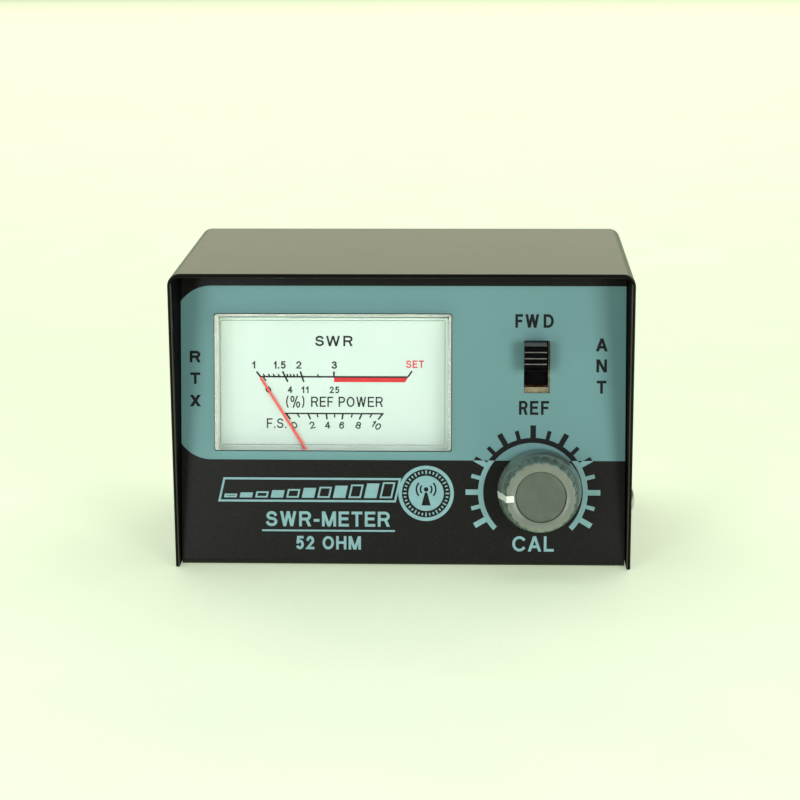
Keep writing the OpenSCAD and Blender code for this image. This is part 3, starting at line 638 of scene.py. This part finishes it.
def make_screws():
    side = pan_head_mesh(SIDE_HEAD_R, 5.0)
    low, high = box_mm("cover_screws")
    z = (low.z + high.z) / 2
    group = Shape()
    for sign in (-1, 1):
        for i, y in enumerate((low.y + SIDE_HEAD_R, high.y - SIDE_HEAD_R)):
            turn = Matrix.Rotation(math.radians(25 + 40 * i + 17 * sign), 4, "Z")
            seat = Matrix.Translation((sign * CASE_W / 2, y, z)) @ Matrix.Rotation(sign * math.pi / 2, 4, "Y")
            group.join(side.moved(seat @ turn))
    hand_over(build("side_screws", group, WORLD, M["steel"]), "case", "screw_steel", "cover_screws")

    rear = pan_head_mesh(FLANGE_HEAD_R, 7.0)
    group = Shape()
    for name in ("rtx_socket_shell", "ant_socket_shell"):
        low, high = box_mm(name)
        middle = (low + high) / 2
        for i, (across, up) in enumerate(((-1, -1), (1, -1), (-1, 1), (1, 1))):
            at = Vector((middle.x + across * FLANGE_HOLE, REAR_Y + FLANGE_T, middle.z + up * FLANGE_HOLE))
            turn = Matrix.Rotation(math.radians(31 * i + low.x), 4, "Z")
            group.join(rear.moved(Matrix.Translation(at) @ Matrix.Rotation(-math.pi / 2, 4, "X") @ turn))
    hand_over(build("flange_screws", group, WORLD, M["steel"]), "case", "screw_steel", "socket_screws")


def window_holes():
    """What the panel's print leaves open: the window, with a dark line round it that is painted shade for the
    gap round the lens, and the switch's slot.
    """
    gap_shade_margin = 0.8
    return [rounded(LENS["x"], LENS["s"], LENS["w"] + gap_shade_margin, LENS["h"] + gap_shade_margin, 0.5, 3),
            rounded(SLOT["x"], SLOT["s"], SLOT["w"], SLOT["h"], 0.1, 2)]


def make_blue_field():
    b = BLUE
    reach = math.degrees(math.acos((b["corner_x"] + PANEL_EDGE) / b["corner"]))
    right = PANEL_EDGE - 0.05
    outline = ([(right, b["foot"]), (right, b["top"])]
               + arc(b["corner_x"], b["top"] - b["corner"], b["corner"], 90, 180 - reach, 10)
               + arc(b["corner_x"], b["foot"] + b["corner"], b["corner"], 180 + reach, 270, 10))
    field = Print(0)
    field.area(outline, window_holes())
    hand_over(build("blue_field", field, PANEL, M["blue"]), "case", "panel_paint")


def clipped(polygon, keep_above):
    """The part of a convex polygon above, or below, the foot of the blue field."""
    level = BLUE["foot"]
    result = []
    for (ax, ay), (bx, by) in zip(polygon, polygon[1:] + polygon[:1]):
        a_in = (ay >= level) == keep_above
        b_in = (by >= level) == keep_above
        if a_in:
            result.append((ax, ay))
        if a_in != b_in:
            result.append((ax + (bx - ax) * (level - ay) / (by - ay), level))
    return result


def cal_scale(ink, above):
    """The arc and ticks round the knob, where they lie above or below the blue field's foot."""
    cx, cy = 30.93, 17.85
    inner, outer, long_tick, short_tick = 11.8, 13.0, 15.95, 15.1
    half_sweep, step = 134, 4

    def point(r, a):
        return (cx + r * math.sin(math.radians(a)), cy + r * math.cos(math.radians(a)))

    pieces = []
    for i in range(-half_sweep, half_sweep, step):
        pieces.append([point(inner, i), point(inner, i + step), point(outer, i + step), point(outer, i)])
    for i in range(-8, 9):
        a = math.radians(15 * i)
        tip, half = (long_tick, 0.65) if i % 2 == 0 else (short_tick, 0.48)
        side = Vector((math.cos(a), -math.sin(a))) * half
        base, end = Vector(point(outer - 0.05, 15 * i)), Vector(point(tip, 15 * i))
        pieces.append([tuple(base - side), tuple(base + side), tuple(end + side), tuple(end - side)])
    for piece in pieces:
        part = clipped(piece, above)
        if len(part) > 2:
            ink.area(part)


def make_panel_print():
    dark = Print(INK)
    left_x, right_x = -49.33, 46.98
    for letter, x0, x1 in (("F", 26.6, 28.4), ("W", 28.9, 32.25), ("D", 33.25, 35.65)):
        dark.text(letter, x0, x1, 56.9, 60.1, 0.62)
    for letter, x0, x1 in (("R", 27.55, 29.6), ("E", 30.15, 32.1), ("F", 32.75, 34.65)):
        dark.text(letter, x0, x1, 36.3, 39.6, 0.6)
    for letter, s, half in (("R", 49.87, 1.28), ("T", 44.73, 1.18), ("X", 39.38, 1.24)):
        dark.text(letter, left_x - half, left_x + half, s - 1.37, s + 1.37, 0.62)
    for letter, s, half in (("A", 52.9, 1.36), ("N", 47.95, 1.24), ("T", 42.92, 1.12)):
        dark.text(letter, right_x - half, right_x + half, s - 1.53, s + 1.53, 0.64)
    cal_scale(dark, True)
    hand_over(build("panel_dark_print", dark, PANEL, M["ink_dark"]), "case", "panel_paint")

    light = Print(0.01)
    cal_scale(light, False)
    light.text("CAL", 26.1, 35.95, 3.75, 7.4, 0.64)
    light.text("SWR-METER", -32.55, -3.0, 9.45, 13.05, 0.66)
    light.stroke((-33.5, 8.45), (-1.8, 8.45), 0.42)
    light.text("52 OHM", -25.4, -9.9, 3.95, 7.15, 0.62)
    bar_badge(light)
    aerial_badge(light)
    hand_over(build("panel_light_print", light, PANEL, M["ink_light"]), "case", "panel_paint")


def bar_badge(ink):
    """A plain ornament: a slanted frame with bars that rise from left to right."""
    left, right, low, high = -44.0, -1.6, 15.3, 21.1
    lean, line, bars = 1.3, 0.5, 11

    def leaning(x0, x1, s0, s1):
        a, b = lean * (s0 - low) / (high - low), lean * (s1 - low) / (high - low)
        return [(x0 + a, s0), (x1 + a, s0), (x1 + b, s1), (x0 + b, s1)]

    ink.area(leaning(left, right, low, high), [leaning(left + line, right - line, low + line, high - line)])
    pitch = (right - left - 2 * line - 0.6) / bars
    for i in range(bars):
        top = low + 1.9 + (high - low - 2.9) * i / (bars - 1)
        x0 = left + line + 0.7 + pitch * i
        x1 = x0 + pitch - 0.75
        outline = leaning(x0, x1, low + 1.0, top)
        if i % 2:
            ink.area(outline)
        else:
            ink.area(outline, [leaning(x0 + 0.42, x1 - 0.42, low + 1.38, top - 0.38)])


def aerial_badge(ink):
    """A plain round ornament: an aerial and its waves on a disc, inside a ring of ticks."""
    cx, cy = 5.6, 17.5
    ink.area(disc(cx, cy, 6.6, 72), [disc(cx, cy, 5.75, 72)])
    for i in range(36):
        a = math.radians(10 * i)
        near, far = (4.75, 5.35) if i % 3 else (4.6, 5.5)
        ink.stroke((cx + near * math.cos(a), cy + near * math.sin(a)),
                   (cx + far * math.cos(a), cy + far * math.sin(a)), 0.34)
    mast = [(cx - 1.1, cy - 2.9), (cx + 1.1, cy - 2.9), (cx + 0.28, cy + 0.2), (cx - 0.28, cy + 0.2)]
    holes = [mast, disc(cx, cy + 0.95, 0.55, 20)]
    for r in (1.35, 2.3):
        for side in (0, 180):
            outer = arc(cx, cy + 0.95, r + 0.2, side - 42, side + 42, 12)
            inner = arc(cx, cy + 0.95, r - 0.2, side + 42, side - 42, 12)
            holes.append(outer + inner)
    ink.area(disc(cx, cy, 4.2, 64), holes)


# ---------------- meter
def make_lens():
    x, s, w, h, t, out = (LENS[k] for k in ("x", "s", "w", "h", "t", "out"))
    mid = (HOUSING["s0"] + HOUSING["s1"]) / 2
    tall = HOUSING["s1"] - HOUSING["s0"]

    def outline(cy, wide, high, r, z):
        return [(px, py, z) for px, py in rounded(x, cy, wide, high, r)]

    edge, corner = 0.25, 0.4
    chamfer = 0.1
    loops = [outline(s, w - 2 * t - 2 * chamfer, h - 2 * t - 2 * chamfer, 0.1, out - t)]
    loops += [outline(s, w - 2 * t, h - 2 * t, corner, z) for z in (out - t - chamfer, -2.0)]
    loops += [outline(mid, HOUSING["w"], tall, corner, z) for z in (-2.0, -1.0)]
    loops += [outline(s, w, h, corner, z) for z in (-1.0, out - edge)]
    for step in (30, 60, 90):
        inset = edge * (1 - math.cos(math.radians(step)))
        rise = edge * (1 - math.sin(math.radians(step)))
        loops.append(outline(s, w - 2 * inset, h - 2 * inset, corner - inset, out - rise))
    shape = Shape()
    shape.rings(loops)
    window = build("meter_window", shape, PANEL, [M["clear"], M["clear_side"]])
    for face in window.data.polygons:
        face.material_index = 1 if abs(face.normal.dot(OUT)) < 0.3 else 0
    hand_over(window, "case", "clear_plastic", "meter_lens")


def make_dial_print():
    """The SWR scale, the reflected-power scale and the forward-power scale."""
    black, red = Print(DIAL_OUT), Print(DIAL_OUT)
    left, right, line_s = -34.3, 1.05, 44.86
    three = -16.65
    for letter, x0, x1 in (("S", -21.15, -19.05), ("W", -18.6, -15.15), ("R", -14.4, -12.15)):
        black.text(letter, x0, x1, 52.2, 54.7, 0.46)
    black.stroke((left - 0.1, line_s), (right, line_s), 0.4)
    for words, x0, x1 in (("1", -36.35, -35.55), ("1.5", -31.1, -28.2), ("2", -25.75, -24.45),
                          ("3", -17.2, -15.9)):
        black.text(words, x0, x1, 46.78, 48.58, 0.35)
    black.stroke((left, line_s), (left - 0.95, 46.1), 0.44)
    black.stroke((right, line_s), (right + 1.0, 46.3), 0.4)
    black.stroke((three, line_s), (three, 46.15), 0.42)
    focus = (-16.6, 21.4)

    def tick(x, above, below, width):
        """A tick that points at the scale's focus."""
        lean = (x - focus[0]) / (line_s - focus[1])
        black.stroke((x - lean * below, line_s - below), (x + lean * above, line_s + above), width)

    for x in (-28.35, -24.3):
        tick(x, 1.3, 1.25, 0.42)
    for x in (-33.2, -32.0, -30.85, -29.7, -27.65, -26.9, -26.1, -25.3, -20.45):
        tick(x, 0.66, 0, 0.34)
    tick(-33.7, 0, 1.0, 0.36)
    for words, x0, x1, turn in (("0", -33.05, -31.8, 30), ("4", -27.75, -26.6, 0), ("11", -24.5, -22.75, 0),
                                ("25", -17.7, -15.35, 0)):
        black.text(words, x0, x1, 40.93, 42.55, 0.3, turn)
    red.area([(three, 43.6), (right - 0.65, 43.6), (right + 0.05, line_s - 0.16), (three, line_s - 0.16)])
    red.text("SET", 0.6, 4.9, 47.05, 48.85, 0.3)
    black.text("(%)", -28.15, -23.75, 37.4, 40.3, 0.3)
    black.text("REF", -22.15, -16.85, 37.65, 40.1, 0.34)
    black.text("POWER", -15.55, -4.9, 37.65, 40.1, 0.34)
    low_s = 36.05
    black.stroke((-28.5, low_s), (-4.75, low_s), 0.36)
    ticks = (-28.2, -25.5, -22.9, -20.75, -18.5, -16.48, -14.5, -12.23, -9.95, -7.5, -4.95)
    for i, x in enumerate(ticks):
        length = 1.4 if i % 2 == 0 else 0.95
        lean = (x - focus[0]) / (low_s - focus[1])
        black.stroke((x, low_s), (x - lean * length, low_s - length), 0.4 if i % 2 == 0 else 0.32)
    numbers = (("0", -26.2, 1.3, 38), ("2", -21.9, 1.3, 14), ("4", -18.2, 1.3, 4), ("6", -14.8, 1.2, -6),
               ("8", -10.8, 1.3, -16), ("10", -6.5, 2.3, -32))
    for words, x, wide, turn in numbers:
        black.text(words, x - wide / 2, x + wide / 2, 32.4, 34.1, 0.3, turn)
    black.text("F.S.", -32.8, -28.1, 32.5, 34.85, 0.33)
    hand_over(build("dial_black_print", black, PANEL, M["dial_ink"]), "case", "dial_white")
    hand_over(build("dial_red_print", red, PANEL, M["dial_red"]), "case", "dial_white")


def make_needle():
    """A flattened tube that tapers to its tip, turned to its stop at the left."""
    rest, length, level, beside = math.radians(32.2), 32.2, -4.7, -0.62
    steps = 10
    loops = []
    for along, half, thick in ((1.0, 0.4, 0.2), (8, 0.36, 0.2), (20, 0.31, 0.18), (length - 0.5, 0.27, 0.15),
                               (length, 0.16, 0.1)):
        loops.append([(beside + half * math.cos(a), along, level + thick * math.sin(a))
                      for a in (2 * math.pi * i / steps for i in range(steps))])
    shape = Shape()
    shape.rings(loops)
    shape.lathe([(1.25, -5.1), (1.25, -4.45), (1.1, -4.3), (0.4, -4.3)], 32)
    turned = shape.moved(Matrix.Rotation(rest, 4, "Z"))
    hand_over(build("needle_pointer", turned, ON_NEEDLE, M["needle"]), "needle", "needle_red", "meter_needle")


# ---------------- knob
KNOB_SHAPE = dict(base=0.9, base_r=9.95, waist=7.2, waist_r=9.1, top=14.6, top_r=8.15, cap_r=5.9, flutes=21)


def make_knob():
    k = KNOB_SHAPE
    per_flute = 14
    steps = k["flutes"] * per_flute
    pointer = math.radians(184)

    def flute(i, z, r):
        """Depth of the scallops at height z, none at the pointer's line."""
        share = min(1.0, max(0.0, (z - k["waist"] - 0.35) / 0.9))
        phase = (i / per_flute) % 1
        groove = max(0.0, 1 - ((phase - 0.5) / 0.2) ** 2)
        return r - (0.42 - 0.028 * (z - k["waist"])) * share * groove ** 0.6

    def ring(r, z, fluted=True):
        loop = []
        for i in range(steps):
            a = pointer + 2 * math.pi * i / steps
            rr = flute(i, z, r) if fluted else r
            loop.append((rr * math.cos(a), rr * math.sin(a), z))
        return loop

    top, base = k["top"], k["base"]
    shaft_hole = [(3.0, 11.6), (3.0, 5.6), (7.2, 5.6), (7.2, base)]
    foot = [(k["base_r"] - 0.3, base), (k["base_r"] - 0.05, base + 0.12), (k["base_r"], base + 0.4)]
    loops = [ring(r, z, False) for r, z in shaft_hole + foot]
    for i in range(1, 7):
        share = i / 6
        z = base + 0.4 + (k["waist"] - base - 0.6) * share
        loops.append(ring(k["base_r"] + (k["waist_r"] - k["base_r"]) * share, z, False))
    loops.append(ring(k["waist_r"] - 0.18, k["waist"], False))
    fluted_top = top - 0.45
    for i in range(0, 13):
        share = i / 12
        z = k["waist"] + 0.15 + (fluted_top - k["waist"] - 0.15) * share ** 1.4
        loops.append(ring(k["waist_r"] - 0.2 + (k["top_r"] - k["waist_r"] + 0.2) * share, z))
    loops.append(ring(k["top_r"] - 0.05, top - 0.26))
    loops.append(ring(k["top_r"] - 0.16, top - 0.1))
    face_from = len(loops)
    loops.append(ring(k["top_r"] - 0.3, top - 0.02))
    loops.append(ring(k["top_r"] - 0.45, top))
    loops.append(ring(k["cap_r"] + 0.12, top, False))
    loops.append(ring(k["cap_r"], top - 0.1, False))
    loops.append(ring(k["cap_r"], top - 0.8, False))
    # From the rim on, the faces take the face ring's toned copy of the plastic: painted light.
    kinds = [0 if j < face_from - 1 else 1 for j in range(len(loops) - 1)]
    shape = Shape()
    shape.rings(loops, kinds=kinds)
    knob = build("fluted_knob", shape, ON_KNOB, [M["knob"], M["knob_face_painted_light"]], smooth=50)
    hand_over(knob, "knob", "knob_plastic", "cal_knob")

    cap = Shape()
    rim = k["cap_r"] - 0.02
    cap.lathe([(rim, top - 0.8), (rim, top - 0.62), (rim - 0.13, top - 0.52), (rim - 1.18, top - 0.5),
               (0.5, top - 0.5)], 96)
    hand_over(build("knob_disc", cap, ON_KNOB, M["cap"], smooth=30), "knob", "knob_metal", "knob_cap")

    line = Shape()
    path = [(6.25, top + 0.0), (7.6, top + 0.0), (7.95, top - 0.1), (8.16, top - 0.5), (8.35, top - 3.0),
            (8.92, 7.5), (9.12, 7.1), (9.5, 4.5), (9.9, 1.6)]
    half, proud = 0.75, 0.05
    loops = []
    for j, (r, z) in enumerate(path):
        before, after = path[max(j - 1, 0)], path[min(j + 1, len(path) - 1)]
        along = Vector((after[0] - before[0], after[1] - before[1])).normalized()
        out = Vector((-along.y, along.x)) * proud
        loops.append([(r + out.x, -half, z + out.y), (r + out.x, half, z + out.y),
                      (r - 4 * out.x, half, z - 4 * out.y), (r - 4 * out.x, -half, z - 4 * out.y)])
    line.rings(loops)
    turned = line.moved(Matrix.Rotation(pointer, 4, "Z"))
    piece = build("pointer_line", turned, ON_KNOB, M["white"])
    hand_over(piece, "knob", "pointer_white", "knob_pointer")


# ---------------- switch
def make_slider():
    """The ridged block and the carriage behind it."""
    inverse = PANEL.inverted()
    block_x, block_w, block_h, out = 31.3, 5.2, 6.9, 6.0
    block_s = 50.27
    half = block_h / 2
    depth = 0.6
    profile = [(-half, -2.7), (-half, out - depth - 0.2)]
    for middle, flat in ((-3.02, 0.2), (-1.69, 0.24), (-0.38, 0.26), (1.08, 0.22), (2.9, 0.86)):
        low, high = middle - flat / 2, middle + flat / 2
        profile += [(max(low - 0.28, 0.01 - half), out - depth), (low, out), (high, out),
                    (min(high + 0.16, half - 0.01), out - depth)]
    profile += [(half, out - depth - 0.2), (half, -2.7)]
    shape = Shape()
    shape.rings([[(x, block_s + s, z) for s, z in profile]
                 for x in (block_x - block_w / 2, block_x + block_w / 2)])
    # The carriage behind the block; its near-black plastic is partly painted shade for the slot.
    shape.prism(rounded(31.4, block_s, 11, 14, 0.4, 3), -5.2, -2.7)
    slider = build("ridged_slider", shape, PANEL, [M["black_plastic_and_slot_shade"], M["ridge_edge"], M["ridge_ledge"]],
                   bevel=0.05, segments=2)
    for face in slider.data.polygons:
        at = inverse @ face.center
        # Crest faces take the painted highlight grey; the top ledge takes the painted reflection grey.
        if at.z > out - 0.1 and at.y > block_s - 2.4:
            face.material_index = 2 if at.y > block_s + 2 else 1
    hand_over(slider, "slider", "black_moulding", "switch_slider")


# ---------------- sockets
def make_socket(name, node):
    """A threaded coaxial socket on a square flange."""
    low, high = box_mm(node)
    x, z = (low.x + high.x) / 2, (low.z + high.z) / 2
    place = placed(Vector((x, REAR_Y, z)) * MM, Vector((1, 0, 0)), Vector((0, 0, -1)), Vector((0, 1, 0)))
    length, major, bore = high.y - REAR_Y, 7.94, 6.1
    pitch, depth, around, per_turn, run_out = 25.4 / 24, 0.55, 72, 8, 0.35

    def thread(angle, height):
        """Radius of the thread, with its crests run out at both ends."""
        phase = (height / pitch - angle / (2 * math.pi)) % 1
        ridge = abs(2 * phase - 1)
        run = min(1.0, max(0.0, min(height - FLANGE_T - 0.5, length - run_out - height) / 0.6))
        return major - depth * run * min(1.0, max(0.0, 1.15 - 1.25 * ridge))

    shape = Shape()
    loops = [circle(r, z, around) for r, z in ((bore, -4), (7.95, -4), (7.95, FLANGE_T))]
    rows = int((length - FLANGE_T - 0.4) / pitch * per_turn)
    angles = [2 * math.pi * i / around for i in range(around)]
    for j in range(1, rows):
        height = FLANGE_T + (length - FLANGE_T - run_out) * j / rows
        loops.append([(thread(a, height) * math.cos(a), thread(a, height) * math.sin(a), height)
                      for a in angles])
    loops += [circle(r, z, around) for r, z in ((major - run_out, length), (bore + 0.25, length),
                                                (bore, length - 0.25))]
    shape.rings(loops, around=True)
    holes = [disc(i * FLANGE_HOLE, j * FLANGE_HOLE, 1.6, 24) for i in (-1, 1) for j in (-1, 1)]
    holes.append(disc(0, 0, 7.9, around))
    shape.prism(rounded(0, 0, FLANGE_W, FLANGE_W, 1.5), 0, FLANGE_T, holes)
    body = build(name, shape, place, M["nickel"], smooth=40)
    for across in ((1.3, 20), (20, 1.3)):
        notch = Shape()
        notch.prism(rounded(0, 0, across[0], across[1], 0.1, 1), length - 1.0, length + 1)
        cut(body, notch, place)
    hand_over(body, "case", "socket_nickel", node)


def make_rear_labels():
    """Plain names beside the sockets, read from behind."""
    rear = placed(Vector((0, REAR_Y, 0)) * MM, Vector((-1, 0, 0)), Vector((0, 0, 1)), Vector((0, 1, 0)))
    ink = Print(0.01)
    ink.text("RTX", 20.0, 28.0, 53.6, 57.0, 0.55)
    ink.text("ANT", -28.0, -20.0, 53.6, 57.0, 0.55)
    hand_over(build("rear_print", ink, rear, M["ink_dark"]), "case", "panel_paint")


# ---------------- CAD nodes that stay
KEPT = {
    "sheet": ("chassis",),
    "dial": ("meter_dial",),
    "ivory": ("meter_housing",),
    "zinc": ("switch_frame", "ground_lugs"),
    "silver": ("rtx_contact", "ant_contact"),
    "insulator": ("rtx_insulator", "ant_insulator"),
    "steel": ("meter_strap", "meter_yoke", "meter_pivots", "pot_can", "pot_shaft", "pot_lugs",
              "switch_terminals", "strap_nuts", "switch_nuts", "yoke_screws", "panel_studs",
              "meter_terminal_nuts", "pot_nut", "pot_washer", "socket_nuts"),
    "brass": ("core_holder", "front_bridge", "rear_bridge", "jewel_screws", "meter_terminals",
              "needle_balance", "front_hairspring", "rear_hairspring", "pot_wiper", "pot_bushing",
              "switch_contacts"),
    "copper": ("meter_coil", "coupler_lines"),
    "phenolic": ("pot_wafer", "switch_base", "coupler_board"),
    "magnet": ("meter_magnet",),
    "carbon": ("pot_track",),
    "amber": ("coupler_diodes",),
    "resistor": ("coupler_resistors",),
    "ceramic": ("coupler_capacitors",),
    "wire": ("hookup_wires",),
}


def dress_kept_nodes():
    for finish, names in KEPT.items():
        for name in names:
            mesh = frame["nodes"][name].data
            mesh.materials.clear()
            mesh.materials.append(M[finish])


# ---------------- stage
def make_stage():
    floor = Shape()
    floor.rings([[(x, y, z) for x, y in ((-3000, -2500), (3000, -2500), (3000, 4000), (-3000, 4000))]
                 for z in (-5, 0)])
    cloth = finish_material("pale_floor", colour(240, 250, 226), 0.9, mottle=0.02, mottle_mm=30, grain_mm=1.2,
                            grain_depth=0.05, specular=0.1)
    shader = cloth.node_tree.nodes["Principled BSDF"]
    shader.inputs["Emission Color"].default_value = (0.88, 1.0, 0.7, 1)
    shader.inputs["Emission Strength"].default_value = 0.36
    build("floor", floor, WORLD, cloth)


def area_light(name, at, target, size, power, tint):
    lamp = bpy.data.lights.new(name, "AREA")
    lamp.shape = "RECTANGLE"
    lamp.size, lamp.size_y = size
    lamp.energy = power
    lamp.color = tint
    holder = bpy.data.objects.new(name, lamp)
    bpy.context.scene.collection.objects.link(holder)
    holder.location = at
    holder.rotation_euler = (Vector(target) - Vector(at)).to_track_quat("-Z", "Y").to_euler()


def make_lights():
    """Two soft lamps low on either side, a bright wall behind that the top reflects, and a dim room."""
    world = bpy.data.worlds.new("room")
    bpy.context.scene.world = world
    world.use_nodes = True
    background = world.node_tree.nodes["Background"]
    background.inputs["Color"].default_value = (0.95, 1.0, 0.96, 1)
    background.inputs["Strength"].default_value = 0.03
    area_light("left_lamp", (-0.43, -0.85, 0.22), (0, 0, 0.03), (0.3, 0.34), 3.0, (0.94, 1, 1))
    area_light("right_lamp", (0.47, -0.85, 0.22), (0, 0, 0.03), (0.3, 0.34), 3.4, (0.98, 1, 0.98))
    area_light("back_wall", (0, 2.0, 0.85), (0, 0, 0.3), (3.6, 1.3), 22, (0.97, 1, 0.7))
    area_light("ceiling", (0, 0.45, 1.7), (0, 0.2, 0), (3.0, 2.2), 24, (0.98, 1, 0.97))
    bpy.context.scene.view_settings.view_transform = "Standard"


def make_camera():
    """Set in front, a little to the right and above, with a long lens."""
    at = Vector((19.5, -525.0, 163.9)) * MM
    down, left, roll = (math.radians(a) for a in (13.957, 2.297, -0.338))
    focal_pixels, frame_pixels, sensor = 2183.3, 800, 36.0
    level_right = Vector((math.cos(left), math.sin(left), 0))
    level_ahead = Vector((-math.sin(left), math.cos(left), 0))
    ahead = level_ahead * math.cos(down) - Vector((0, 0, 1)) * math.sin(down)
    over = level_ahead * math.sin(down) + Vector((0, 0, 1)) * math.cos(down)
    right = level_right * math.cos(roll) + over * math.sin(roll)
    above = over * math.cos(roll) - level_right * math.sin(roll)
    data = bpy.data.cameras.new("camera")
    data.sensor_width = sensor
    data.lens = sensor * focal_pixels / frame_pixels
    data.clip_start = 0.01
    camera = bpy.data.objects.new("camera", data)
    camera.matrix_world = Matrix.Translation(at) @ Matrix((right, above, -ahead)).transposed().to_4x4()
    bpy.context.scene.collection.objects.link(camera)
    bpy.context.scene.camera = camera


make_camera()
make_lights()
make_stage()
dress_kept_nodes()
make_cover()
make_screws()
make_blue_field()
make_panel_print()
make_lens()
make_dial_print()
make_needle()
make_knob()
make_slider()
make_socket("rtx_threaded_socket", "rtx_socket_shell")
make_socket("ant_threaded_socket", "ant_socket_shell")
make_rear_labels()
